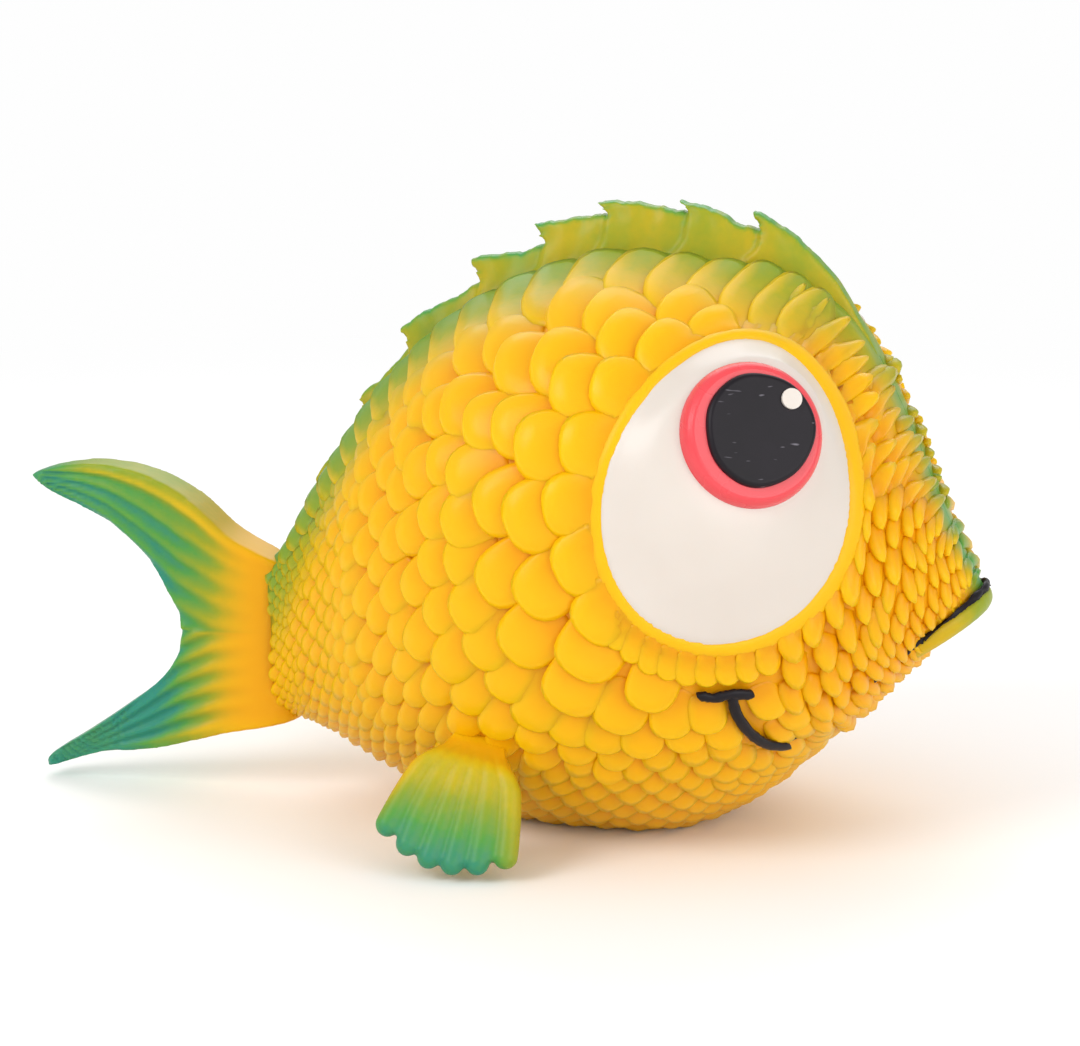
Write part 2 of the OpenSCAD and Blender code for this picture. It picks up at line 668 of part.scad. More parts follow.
module breast_fin() {
  color(fin_green)
    translate(fin_place)
      rotate([-fin_splay, fin_pitch, 0])
        union() {
          rotate([0, 90, 0]) cylinder(h = fin_root_width, d = fin_root_diameter, center = true, $fn = 40);
          translate([0, fin_web_thickness / 2, 0])
            rotate([90, 0, 0])
              linear_extrude(fin_web_thickness)
                polygon(concat([for (i = [0 : fin_ribs - 1]) rib_foot(i)],
                               [for (i = [fin_ribs - 1 : -1 : 0]) rib_end(i)]));
          for (i = [0 : fin_ribs - 1]) fin_rib(rib_foot(i), rib_end(i));
        }
}

// The cast scales of each side spread from the eye in rings, with their free ends outward. A scale is a shingle of
// few faces: its root lies under the skin and its free end stands off it. The width shares are: place along the
// body, and width over a scale's.
scale_width_shares = [[0, 0.36], [0.06, 0.40], [0.14, 0.52], [0.24, 0.70], [0.36, 0.92], [0.46, 1], [0.58, 0.9],
                      [0.68, 0.72], [0.80, 0.56], [0.92, 0.44], [1, 0.42]];
scale_low_share = 0.5;       // width near the belly, over a scale's
scale_low_z_shares = [0.14, 0.40];  // heights between which the widths fall to that, over the body's height
scale_start_share = 0.52;    // from the eye's edge to the middle of the first ring, over a scale's width
scale_pitch_share = 0.74;    // from ring to ring, over a scale's width
scale_length_share = 1.3;    // a scale's length over its width
scale_rise_share = 0.17;     // how far its free end stands off the skin, over its width
scale_root_share = 0.09;     // how deep its root lies
scale_foot_share = 0.16;     // how deep the whole scale reaches
scale_droop = 0.3;           // how much the scales behind the eye hang down
scale_sides = 6;
scale_rings = 19;
scale_rear_share = 0.065;    // the scales start this far along the body
scale_front_share = 0.925;   // and end here
scale_floor_share = 0.055;   // height of the lowest ones, over the body's height
scale_crest_room = crest_base_thickness / 2 + running_gap;

function scale_width_at(p) =
  let (full = scale_width * lookup((p[0] - root_x) / body_length, scale_width_shares),
       low = max(0, min(1, (scale_low_z_shares[1] - p[1] / body_height)
                           / (scale_low_z_shares[1] - scale_low_z_shares[0]))))
  full * (1 - low) + min(full, scale_low_share * scale_width) * low;
function eye_ray(a, away) =
  let (middle = [eye_x, eye_z], out = eye_edge(a) - middle) middle + out * (1 + away / norm(out));
function ring_away(k, a) =
  k == 0 ? scale_start_share * scale_width_at(eye_edge(a))
         : let (r = ring_away(k - 1, a)) r + scale_pitch_share * scale_width_at(eye_ray(a, r));
function ring_turn(k, a) =
  let (r = ring_away(k, a), p = eye_ray(a, r), q = eye_ray(a + 1, r)) scale_width_at(p) / norm(q - p);
function scale_way(a) =
  let (out = eye_edge(a) - [eye_x, eye_z], way = out / norm(out),
       hung = way - [0, scale_droop * max(0, -way[0])]) hung / norm(hung);
function scale_corners(p, way) =
  let (width = scale_width_at(p), across = [-way[1], way[0]])
  [for (i = [0 : scale_sides - 1])
    let (b = 360 * (i + 0.5) / scale_sides, along = cos(b))
    concat(p + across * sin(b) * width / 2 + way * along * scale_length_share * width / 2,
           width * (along > 0 ? scale_rise_share * (0.5 + along / 2)
                              : scale_rise_share / 2 + along * (scale_root_share + scale_rise_share / 2)),
           -width * scale_foot_share)];
function in_box(p, low, high) = p[0] > low[0] && p[0] < high[0] && p[1] > low[1] && p[1] < high[1];
function free_of_pieces(p, width) =
  let (fin_room = fin_root_width / 2 + width / 2 + running_gap)
  !in_box(p, [fin_x - fin_room, 0], [fin_x + fin_room, fin_z + fin_root_diameter / 2 + width / 2])
  && min([for (rows = [smile_bar_shares, smile_stroke_shares], row = rows)
       norm(p - [flank_x + row[0] * flank_half_length, row[1] * body_height])])
     > scale_length_share * width / 2 + mouth_line_width / 2 + running_gap
  && !(p[0] > nose_x - lip_room_share * body_length && p[1] < widest_at(nose_x) - lip_nose_drop);
function on_skin(corners) =
  min([for (c = corners) flank_at(c[0], c[1])]) > scale_crest_room
  && min([for (c = corners) c[0]]) > root_x + scale_rear_share * body_length
  && max([for (c = corners) c[0]]) < root_x + scale_front_share * body_length
  && min([for (c = corners) c[1]]) > scale_floor_share * body_height;
lip_room_share = 0.17;       // the nose's end that the lip covers, over the body's length
scales = [for (k = [0 : scale_rings - 1])
  each [for (a = 90 + (k % 2) * ring_turn(k, 90) / 2; a < 450 - ring_turn(k, a) / 2; a = a + ring_turn(k, a))
    let (p = eye_ray(a, ring_away(k, a)))
    if (p[0] > root_x && p[0] < nose_x && p[1] > 0 && p[1] < back_at(p[0]) && free_of_pieces(p, scale_width_at(p)))
      let (corners = scale_corners(p, scale_way(a))) if (on_skin(corners)) corners]];

// A solid between the corners of its top and of its foot
module hull_solid(top, foot) {
  count = len(top);
  hull()
    polyhedron(concat(top, foot), concat([[for (i = [0 : count - 1]) i]], [[for (i = [count - 1 : -1 : 0]) count + i]],
      [for (i = [0 : count - 1]) let (j = (i + 1) % count) [j, i, count + i, count + j]]));
}
module scale_solid(corners) {
  hull_solid([for (c = corners) on_flank(c, c[2])], [for (c = corners) on_flank(c, c[3])]);
}

// The scales that lie wholly on the flank, or wholly off it
function flank_reach(p) =
  let (along = (p[0] - flank_x) / flank_half_length, middle = widest_at(p[0]), up = p[1] > middle,
       rise = (p[1] - middle) / (up ? flank_top_share * (back_at(p[0]) - middle)
                                    : flank_bottom_share * (middle - belly_at(p[0]))))
  pow(pow(abs(along), flank_squareness) + pow(abs(rise), flank_squareness), 1 / flank_squareness);
module flank_scales() {
  for (corners = scales)
    if (max([for (c = corners) flank_reach(c)]) < 1 - running_gap / flank_half_length) scale_solid(corners);
}

// The scales of the back, the belly and the nose lie in rows across the body. A row's shares are: where the rows
// start and end along the body, a scale's width and its pitch over a scale's width in the flank. Then come the
// turns round the section where a row starts and ends, and which way the free ends point, along and up.
strip_length_share = 1.75;
strip_shares = [
  [0.13, 0.79, 1.05, 0.72, 76, 79, [-1, 0.15]],
  [0.16, 0.84, 0.78, 0.60, -84, -34, [-1, -0.2]],
  [0.82, 0.965, 0.62, 0.52, -48, 78, [-0.3, -1]],
];
strip_skin_step = 0.5;       // over which the skin's slope is taken
function skin_at(x, a) =
  let (form = form_at(x), up = a >= 0, rise = abs(sin(a)), middle = form[3] * body_height,
       end = (up ? form[1] : form[2]) * body_height)
  [x, -form[4] * body_width / 2 * section_share(rise, up ? form[5] : belly_power, up ? form[6] : 0.5),
   middle + abs(end - middle) * sin(a)];
function along_skin(x, a) = (skin_at(x + strip_skin_step, a) - skin_at(x - strip_skin_step, a)) / 2 / strip_skin_step;
function round_skin(x, a) = (skin_at(x, a + 1) - skin_at(x, a - 1)) / 2;
function strip_corners(x, a, width, length, way) =
  let (px = along_skin(x, a), pa = round_skin(x, a), out = cross(px, pa), normal = out / norm(out),
       d = way / norm(way), across = [-d[1], d[0]], rise = scale_rise_share * min(width, length))
  [for (i = [0 : scale_sides - 1])
    let (b = 360 * (i + 0.5) / scale_sides, step = across * sin(b) * width / 2 + d * cos(b) * length / 2,
         p = skin_at(x + step[0] / norm(px), max(-89, min(89, a + step[1] / norm(pa)))),
         c = cos(b), lift = c > 0 ? 0.5 + c / 2 : 0.5 + c)
    [p + normal * rise * lift, p - normal * rise]];
function strip_free(corners) =
  min([for (c = corners) flank_reach([c[0][0], c[0][2]])]) > 1 + 2 * running_gap / flank_half_length
  && min([for (c = corners) c[0][2] > widest_at(c[0][0]) ? -c[0][1] : body_width]) > scale_crest_room
  && min([for (c = corners) norm([c[0][0] - squeaker_x, c[0][1]])]) > flange_diameter / 2 + 2 * running_gap
  && min([for (c = corners) norm(c[0] - [nose_x - lip_nose_inset, 0, widest_at(nose_x)])]) > lip_room_share * body_length;
strip_places = [for (row = strip_shares)
  each [for (x = root_x + row[0] * body_length, k = 0; x < root_x + row[1] * body_length;
             x = x + row[3] * scale_width / norm(along_skin(x, (row[4] + row[5]) / 2)), k = k + 1)
    each [for (a = row[4] + (k % 2) * row[2] * scale_width / 2 / norm(round_skin(x, row[4])); a < row[5];
               a = a + row[2] * scale_width / norm(round_skin(x, a)))
      let (corners = strip_corners(x, a, row[2] * scale_width, strip_length_share * row[3] * scale_width, row[6]))
      if (strip_free(corners)) corners]]];
module shell_scales() {
  for (corners = scales)
    if (min([for (c = corners) flank_reach(c)]) > 1 + 2 * running_gap / flank_half_length) scale_solid(corners);
  for (corners = strip_places) hull_solid([for (c = corners) c[0]], [for (c = corners) c[1]]);
}

module left_side() { mirror([0, 1, 0]) children(); }

body_shell();
dorsal_crest();
lower_lip();
mouth_line();
squeaker_barrel();
squeaker_cap();
reed_tube();
reed_clip();
squeaker_reed();
tail_fin();
flank();  // right_flank
eye_white();  // right_eye_white
iris();  // right_iris
pupil();  // right_pupil
catchlight();  // right_catchlight
smile();  // right_smile
breast_fin();  // right_breast_fin
left_side() flank();  // left_flank
left_side() eye_white();  // left_eye_white
left_side() iris();  // left_iris
left_side() pupil();  // left_pupil
left_side() catchlight();  // left_catchlight
left_side() smile();  // left_smile
left_side() breast_fin();  // left_breast_fin
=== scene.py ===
import math
import random
from math import cos, radians, sin
import bpy
import bmesh
import numpy as np
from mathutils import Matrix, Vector
from mathutils.kdtree import KDTree


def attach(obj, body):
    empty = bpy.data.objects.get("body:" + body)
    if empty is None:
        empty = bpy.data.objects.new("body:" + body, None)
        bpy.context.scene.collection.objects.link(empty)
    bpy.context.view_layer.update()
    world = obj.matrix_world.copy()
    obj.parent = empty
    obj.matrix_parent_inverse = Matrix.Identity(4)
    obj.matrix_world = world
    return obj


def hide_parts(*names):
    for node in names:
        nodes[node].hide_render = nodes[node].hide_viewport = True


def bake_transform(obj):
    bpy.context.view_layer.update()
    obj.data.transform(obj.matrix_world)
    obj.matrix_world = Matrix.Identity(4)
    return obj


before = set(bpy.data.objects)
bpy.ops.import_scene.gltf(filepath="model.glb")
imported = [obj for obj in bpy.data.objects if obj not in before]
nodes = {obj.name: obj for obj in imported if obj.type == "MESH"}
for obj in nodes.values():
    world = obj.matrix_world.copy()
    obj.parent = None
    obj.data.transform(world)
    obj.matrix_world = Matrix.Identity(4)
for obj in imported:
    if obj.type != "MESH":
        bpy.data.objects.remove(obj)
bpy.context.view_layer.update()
mm = 0.001
print("frame loaded:", len(nodes), "nodes")


def linearColour(hexText):
    # sRGB hex to the linear values that shaders take
    parts = [int(hexText[i:i + 2], 16) / 255 for i in (1, 3, 5)]
    return [p / 12.92 if p <= 0.04045 else ((p + 0.055) / 1.055) ** 2.4 for p in parts] + [1.0]


def addNode(tree, kind, settings=None, **inputs):
    # one node with its settings and sockets: a socket takes a value, an output or a node's first output
    node = tree.nodes.new("ShaderNode" + kind)
    for name, value in (settings or {}).items():
        setattr(node, name, value)
    for name, value in inputs.items():
        key = int(name[2:]) if name[2:].isdigit() else name.replace("_", " ")
        value = value.outputs[0] if isinstance(value, bpy.types.Node) else value
        if isinstance(value, bpy.types.NodeSocket):
            tree.links.new(value, node.inputs[key])
        else:
            node.inputs[key].default_value = value
    return node


def ease(value, low, high):
    # 0 at low, 1 at high and smooth between; low may be the greater one
    t = np.clip((np.asarray(value, float) - low) / (high - low), 0, 1)
    return t * t * (3 - 2 * t)


def calculate(tree, operation, *values, **settings):
    inputs = {"in" + str(k): value for k, value in enumerate(values)}
    return addNode(tree, "Math", {"operation": operation, **settings}, **inputs)


def newMaterial(name):
    material = bpy.data.materials.new(name)
    material.use_nodes = True
    material.node_tree.nodes.clear()
    return material, material.node_tree


def colourRamp(tree, value, *stops):
    # stops are pairs of a place and a hex colour, in order
    node = addNode(tree, "ValToRGB", Fac=value)
    elements = node.color_ramp.elements
    for element, (place, colour) in ((elements[0], stops[0]), (elements[1], stops[-1])):
        element.position, element.color = place, linearColour(colour)
    for place, colour in stops[1:-1]:
        elements.new(place).color = linearColour(colour)
    return node.outputs["Color"]


def linkObject(name, data):
    made = bpy.data.objects.new(name, data)
    bpy.context.scene.collection.objects.link(made)
    return made


def setMaterial(mesh, material):
    mesh.materials.clear()
    mesh.materials.append(material)


def newObject(name, mesh, material):
    setMaterial(mesh, material)
    mesh.polygons.foreach_set("use_smooth", [True] * len(mesh.polygons))
    return linkObject(name, mesh)


def meshFrom(shape, name):
    mesh = bpy.data.meshes.new(name)
    shape.to_mesh(mesh)
    shape.free()
    return mesh


def setPoints(mesh, points):
    mesh.vertices.foreach_set("co", (np.asarray(points, float) * mm).astype(np.float32).ravel())
    mesh.update()


def readVertices(mesh, what):
    values = np.zeros(len(mesh.vertices) * 3, np.float32)
    mesh.vertices.foreach_get(what, values)
    return values.reshape(-1, 3).astype(float)


def getPoints(mesh):
    return readVertices(mesh, "co") / mm


def setMarks(mesh, **marks):
    # numbers for each point, which the latex reads as green paint and as painted shade and highlight
    for name, values in marks.items():
        mark = mesh.attributes.get(name) or mesh.attributes.new(name, "FLOAT", "POINT")
        mark.data.foreach_set("value", np.broadcast_to(values, len(mesh.vertices)).astype(np.float32))


def reshape(mesh, *steps):
    shape = bmesh.new()
    shape.from_mesh(mesh)
    for step in steps:
        step(shape)
    shape.to_mesh(mesh)
    shape.free()


def faceOutward(shape):
    bmesh.ops.recalc_face_normals(shape, faces=shape.faces)


# the body's form repeats the source: place, back, belly, widest height, half width, fullness, ridge
bodyForm = {
    "length": 100, "height": 78, "width": 76, "rootX": -32, "bellyPower": 2.2,
    "rows": [
        [0.00, 0.424, 0.147, 0.285, 0.125, 2.2, 0.60],
        [0.08, 0.586, 0.125, 0.345, 0.345, 2.3, 0.64],
        [0.17, 0.756, 0.072, 0.420, 0.600, 2.5, 0.62],
        [0.28, 0.888, 0.020, 0.490, 0.830, 2.8, 0.58],
        [0.40, 0.968, -0.010, 0.530, 0.965, 3.0, 0.54],
        [0.50, 1.000, -0.018, 0.540, 1.000, 3.2, 0.50],
        [0.60, 0.994, -0.006, 0.545, 0.985, 3.2, 0.50],
        [0.70, 0.968, 0.056, 0.550, 0.915, 3.2, 0.50],
        [0.78, 0.912, 0.146, 0.545, 0.795, 3.0, 0.50],
        [0.85, 0.806, 0.236, 0.525, 0.640, 2.8, 0.50],
        [0.91, 0.672, 0.314, 0.495, 0.460, 2.6, 0.50],
        [0.96, 0.548, 0.374, 0.460, 0.270, 2.4, 0.50],
        [1.00, 0.430, 0.410, 0.420, 0.030, 2.4, 0.50],
    ],
    "slices": 200, "turns": 80,       # samples along the body and up each half of its side
}
formRows = np.array(bodyForm["rows"])


def curveThrough(a, b, c, d, t):
    # from b at t = 0 to c at t = 1, with a and d beyond them
    return (2 * b + (c - a) * t + (2 * a - 5 * b + 4 * c - d) * t * t + (3 * b - a - 3 * c + d) * t ** 3) / 2


def formAt(x):
    u = np.clip((np.asarray(x, float) - bodyForm["rootX"]) / bodyForm["length"], 0, 1)
    i = np.clip(np.searchsorted(formRows[:, 0], u, side="left") - 1, 0, len(formRows) - 2)
    a, b, c, d = (formRows[np.clip(i + k, 0, len(formRows) - 1)] for k in (-1, 0, 1, 2))
    t = ((u - b[..., 0]) / (c[..., 0] - b[..., 0]))[..., None]
    return curveThrough(a, b, c, d, t)


def halfWidth(form, up, rise):
    # half width at a share of the way from the widest line to the back or the belly
    power = np.where(up, form[..., 5], bodyForm["bellyPower"])
    root = np.where(up, form[..., 6], 0.5)
    return form[..., 4] * bodyForm["width"] / 2 * np.maximum(0, 1 - rise ** power) ** root


def sectionPoint(x, turn):
    # a point of the right side: turn runs from -90 degrees at the belly to 90 at the back
    x, turn = np.broadcast_arrays(np.asarray(x, float), np.asarray(turn, float))
    form, up = formAt(x), turn >= 0
    back, belly, middle = (form[..., k] * bodyForm["height"] for k in (1, 2, 3))
    reach = np.where(up, back - middle, middle - belly)
    return np.stack([x, -halfWidth(form, up, np.abs(np.sin(turn))), middle + reach * np.sin(turn)], axis=-1)


def flankY(x, z):
    # half width of the body at a point of its side view
    form = formAt(x)
    back, belly, middle = (form[..., k] * bodyForm["height"] for k in (1, 2, 3))
    up = np.asarray(z) >= middle
    end = np.where(up, back, belly)
    return halfWidth(form, up, np.clip(np.abs((z - middle) / (end - middle)), 0, 1))


def makeSkinMap():
    # the side unrolled: x along the body and t, the way round it in mm from its widest line
    count, half = bodyForm["slices"], bodyForm["turns"]
    xs = bodyForm["rootX"] + bodyForm["length"] * (np.arange(count + 1) / count) ** 0.9
    turns = np.radians(np.linspace(-90, 90, 361))
    points = sectionPoint(xs[:, None], turns[None, :])
    way = np.zeros(points.shape[:2])
    way[:, 1:] = np.cumsum(np.linalg.norm(np.diff(points, axis=1), axis=2), axis=1)
    low = way[:, 180].copy()
    top = way[:, -1] - low
    shares = np.linspace(-1, 1, 2 * half + 1)
    grid = np.zeros((count + 1, 2 * half + 1, 3))
    for i in range(count + 1):
        wanted = low[i] + np.where(shares > 0, shares * top[i], shares * low[i])
        for k in range(3):
            grid[i, :, k] = np.interp(wanted, way[i], points[i, :, k])
    normal = np.cross(np.gradient(grid, axis=1), np.gradient(grid, xs, axis=0))
    normal /= np.maximum(np.linalg.norm(normal, axis=2, keepdims=True), 1e-9)
    normal = normal * np.where(normal[:, half:half + 1, 1:2] > 0, -1, 1)
    return {"x": xs, "top": top, "low": low, "points": grid, "normals": normal, "half": half,
            "shares": shares}


skinMap = makeSkinMap()


def sampleGrid(grid, x, t):
    # value of a grid at a place of the unrolled side; past its centre line it goes on down the other side
    xs, half = skinMap["x"], skinMap["half"]
    i = np.interp(x, xs, np.arange(len(xs)))
    top, low = np.interp(x, xs, skinMap["top"]), np.interp(x, xs, skinMap["low"])
    share = np.where(t >= 0, t / top, t / low)
    over = np.abs(share) > 1
    share = np.where(over, np.sign(share) * (2 - np.abs(share)), share)
    j = np.clip((share + 1) * half, 0, 2 * half - 1e-6)
    i = np.clip(i, 0, len(xs) - 1 - 1e-6)
    a, b = i.astype(int), j.astype(int)
    u, v = i - a, j - b
    if grid.ndim == 3:
        u, v = u[..., None], v[..., None]
    value = (grid[a, b] * (1 - u) * (1 - v) + grid[a + 1, b] * u * (1 - v)
             + grid[a, b + 1] * (1 - u) * v + grid[a + 1, b + 1] * u * v)
    return value, over


def skinPoint(x, t, stand=0.0):
    # a point that stands off the body's surface
    x, t = np.broadcast_arrays(np.asarray(x, float), np.asarray(t, float))
    point, over = sampleGrid(skinMap["points"], x, t)
    normal, over = sampleGrid(skinMap["normals"], x, t)
    turned = np.where(over[..., None], [1, -1, 1], [1, 1, 1])
    point, normal = point * turned, normal * turned
    normal = normal / np.maximum(np.linalg.norm(normal, axis=-1, keepdims=True), 1e-9)
    return point + normal * np.asarray(stand, float)[..., None], normal


def wayRound(x, z):
    # the unrolled place of a point that is given in the side view
    xs = skinMap["x"]
    x, z = np.broadcast_arrays(np.asarray(x, float), np.asarray(z, float))
    out = np.zeros(x.shape)
    for k in np.ndindex(x.shape):
        i = int(np.clip(np.searchsorted(xs, x[k]), 1, len(xs) - 1))
        f = (x[k] - xs[i - 1]) / (xs[i] - xs[i - 1])
        zs = skinMap["points"][i - 1, :, 2] * (1 - f) + skinMap["points"][i, :, 2] * f
        share = np.interp(z[k], zs, skinMap["shares"])
        out[k] = share * np.interp(x[k], xs, skinMap["top"] if share > 0 else skinMap["low"])
    return out


def aboveFloor(points):
    # what reaches the floor is pressed flat without losing its order
    lift = 0.5
    z = points[..., 2]
    points[..., 2] = np.where(z > lift, z, lift * np.exp((np.minimum(z, lift) - lift) / lift))
    return points


print("body form sampled")


flankMiddle, flankHalf = 23.5, 34
eyeForm = {
    # the white's middle and size, and the iris with the way it looks, in mm and degrees
    "x": flankMiddle + 0.397 * flankHalf, "z": 0.661 * bodyForm["height"], "width": 30.6, "height": 38.6,
    "egg": 0.1, "irisX": flankMiddle + 0.4853 * flankHalf, "irisZ": 0.768 * bodyForm["height"],
    "irisWidth": 19.2, "yaw": 28, "tilt": 20, "thickness": 1.2, "rim": 0.8, "margin": 0.35,
}


def eyeEdge(turn):
    return (eyeForm["x"] + eyeForm["width"] / 2 * np.cos(turn) * (1 - eyeForm["egg"] * np.sin(turn)),
            eyeForm["z"] + eyeForm["height"] / 2 * np.sin(turn))


edgeTurns = np.radians(np.arange(0, 360, 0.5))
edgeX, edgeZ = eyeEdge(edgeTurns)
edgeT = wayRound(edgeX, edgeZ)
edgePlace = np.stack([edgeX, edgeT], axis=1)
edgeAlong = np.roll(edgePlace, -1, axis=0) - np.roll(edgePlace, 1, axis=0)
edgeOut = np.stack([edgeAlong[:, 1], -edgeAlong[:, 0]], axis=1)
edgeOut /= np.linalg.norm(edgeOut, axis=1, keepdims=True)


def eyeDistance(x, t):
    # distance outside the eye's outline on the unrolled side, less than 0 inside it
    x, t = np.asarray(x, float), np.asarray(t, float)
    flat = np.stack([x.ravel(), t.ravel()], axis=1)
    best = np.full(len(flat), 1e9)
    near = np.zeros(len(flat), int)
    for k in range(0, len(edgePlace), 6):
        d = np.hypot(flat[:, 0] - edgePlace[k, 0], flat[:, 1] - edgePlace[k, 1])
        near = np.where(d < best, k, near)
        best = np.minimum(best, d)
    side = np.sum((flat - edgePlace[near]) * edgeOut[near], axis=1)
    return (np.sign(side) * best).reshape(x.shape)


scaleSizes = {
    "flank": 8.2,                     # width of a scale in the middle of the flank, mm
    "root": 2.1, "belly": 3.9,
    "rise": 0.29,                     # a free edge stands this share of the width off its foot
    "view": (0.203, -0.957, 0.208),   # scales on the flat top are longer, so that they look even from here
}


def crestWay(x):
    # distance from the widest line to the crest's line, along the skin
    return np.interp(x, skinMap["x"], skinMap["top"])


def scaleWidth(x, t):
    z = skinPoint(x, t)[0][..., 2]
    size = np.interp(x, [-32, -26, -18, -8, 4, 14, 26, 34, 45, 60, 68],
                     [scaleSizes["root"], 2.8, 4.1, 5.6, 7.4, scaleSizes["flank"], 7.3, 5.6, 4.6, 2.8, 2.0])
    low = ease(z, 31, 11)
    size = size * (1 - low) + np.minimum(size, scaleSizes["belly"]) * low
    high = ease(crestWay(x) - t, 22, 8) * ease(x, -2, -18)
    return size * (1 - 0.25 * high)


def squashAt(x, t):
    # how much shorter a step up the side looks from beside the fish than it is
    step = skinPoint(x, np.asarray(t) + 0.5)[0] - skinPoint(x, np.asarray(t) - 0.5)[0]
    view = np.array(scaleSizes["view"])
    seen = step - np.sum(step * view, axis=-1)[..., None] * view
    return np.where(np.asarray(t) > 0, np.clip(np.linalg.norm(seen, axis=-1), 0.5, 1), 1.0)


def skinDepth(x, t):
    # the skin lies under the scales' tips, and rises to the eye's frame and to the crest
    x, t = np.broadcast_arrays(np.asarray(x, float), np.asarray(t, float))
    depth = -0.10 * scaleWidth(x, t)
    # the forehead's grains lie deeper in its skin
    depth = depth - 1.1 * ease(x, 43, 50) * ease(x, 68, 64) * ease(t, -2, 6)
    away = eyeDistance(x, t)
    frameShare = 1 - ease(away, 0.7, 3.0)
    depth = depth * (1 - frameShare) + 0.78 * frameShare
    inside = ease(away, -0.4, -2.0)
    depth = depth * (1 - inside) - 1.2 * inside
    crestShare = (1 - ease(crestWay(x) - t, 4.0, 10.5)) * ease(x, 67, 50)
    ridge = 0.9 + 0.9 * ease(x, 31, 37) * ease(x, 55, 47)
    depth = depth + crestShare * (ridge - depth)
    # the brow between the fingers and the ridge is smooth and full
    brow = ease(crestWay(x) - t, 17, 11) * ease(x, 38, 45) * ease(x, 60, 53)
    return depth + brow * (1 - crestShare) * (0.35 - depth)


gridT = np.where(skinMap["shares"] > 0, skinMap["top"][:, None], skinMap["low"][:, None]) * skinMap["shares"]
skinMap["depth"] = skinDepth(np.repeat(skinMap["x"][:, None], gridT.shape[1], axis=1), gridT)


def depthAt(x, t):
    return sampleGrid(skinMap["depth"], np.asarray(x, float), np.asarray(t, float))[0]


def airbrush(x, t):
    # green paint, sprayed from above: along the crest, over the rear of the back, and on the nose
    fromCrest = (crestWay(x) - t) * (1 - 0.45 * ease(x, -8, 10) * ease(x, 50, 40))
    reach = np.interp(x, [-32, -24, -12, 2, 14, 30, 44, 56, 68], [20, 24, 25, 19, 15, 14, 18, 12, 9])
    paint = np.clip(1 - fromCrest / reach, 0, 1) ** 1.15
    return paint * np.interp(x, [-32, -10, 20, 50, 60, 68], [0.78, 0.76, 0.64, 0.58, 0.66, 0.8])


print("sizes and paint set")


latexLook = {
    # natural latex rubber, slush cast and sprayed: a soft satin skin that light sinks into
    # the crease colour is painted shade and the bright colour a painted highlight; the yellow is the latex's
    # own colour
    "yellow": "#efac00", "paintedHighlight": "#f8c806", "paintedCreaseShade": "#dc7e00",
    "lime": "#c8b010", "leaf": "#93a024", "green": "#559a44", "teal": "#2f8a74",
    "roughness": 0.36, "ior": 1.5,
    "specular": 0.24,                 # the powdered skin throws back less than clean rubber
    "subsurface": 0.25, "radius": (1.0, 0.66, 0.10),
    "depth": 0.0014,                  # light travels about 1.5 mm in pigmented latex
    "grainSize": 0.9,                 # mm, the faint orange peel of the dried skin
}


def makeLatex(name):
    material, tree = newMaterial(name)
    place = addNode(tree, "TexCoord").outputs["Object"]
    relief = addNode(tree, "Attribute", {"attribute_name": "relief"}).outputs["Fac"]
    paint = addNode(tree, "Attribute", {"attribute_name": "airbrush"}).outputs["Fac"]
    # cloudy pigment, about 9 mm across, so that the yellow isn't one flat colour
    cloud = addNode(tree, "TexNoise", Vector=place, Scale=110.0, Detail=3.0)
    # fine spray at the edge of the green, about 1.2 mm across
    spray = addNode(tree, "TexNoise", Vector=place, Scale=800.0, Detail=2.0, Roughness=0.6)
    # painted light: the shading mark runs from a painted crease shade at 0, through the latex's own yellow,
    # to a painted highlight at 1
    bareWithPaintedShade = colourRamp(tree, relief, (0.0, latexLook["paintedCreaseShade"]), (0.45, latexLook["yellow"]),
                      (1.0, latexLook["paintedHighlight"]))
    shift = calculate(tree, "MULTIPLY_ADD", spray, 0.22, -0.11)
    cloudShift = calculate(tree, "MULTIPLY_ADD", cloud, 0.4, -0.2)
    # the noise counts only where there is paint
    part = calculate(tree, "MULTIPLY", calculate(tree, "ADD", shift, cloudShift), paint)
    level = calculate(tree, "ADD", paint, part, use_clamp=True)
    sprayed = colourRamp(tree, level, (0.0, latexLook["lime"]), (0.42, latexLook["leaf"]),
                         (0.72, latexLook["green"]), (1.0, latexLook["teal"]))
    cover = addNode(tree, "MapRange", {"interpolation_type": "SMOOTHSTEP"}, Value=level,
                    From_Min=0.0, From_Max=0.5)
    mixed = addNode(tree, "Mix", {"data_type": "RGBA"}, in0=cover, in6=bareWithPaintedShade, in7=sprayed)
    grain = addNode(tree, "TexNoise", Vector=place, Scale=1000.0 / latexLook["grainSize"], Detail=2.0)
    bump = addNode(tree, "Bump", Height=grain, Strength=0.25, Distance=0.00006)
    gloss = addNode(tree, "MapRange", Value=cloud, To_Min=latexLook["roughness"] - 0.05,
                    To_Max=latexLook["roughness"] + 0.07)
    shader = addNode(tree, "BsdfPrincipled", Base_Color=mixed.outputs[2], Roughness=gloss, Normal=bump,
                     IOR=latexLook["ior"], Specular_IOR_Level=latexLook["specular"],
                     Subsurface_Weight=latexLook["subsurface"], Subsurface_Radius=latexLook["radius"],
                     Subsurface_Scale=latexLook["depth"])
    addNode(tree, "OutputMaterial", Surface=shader)
    return material


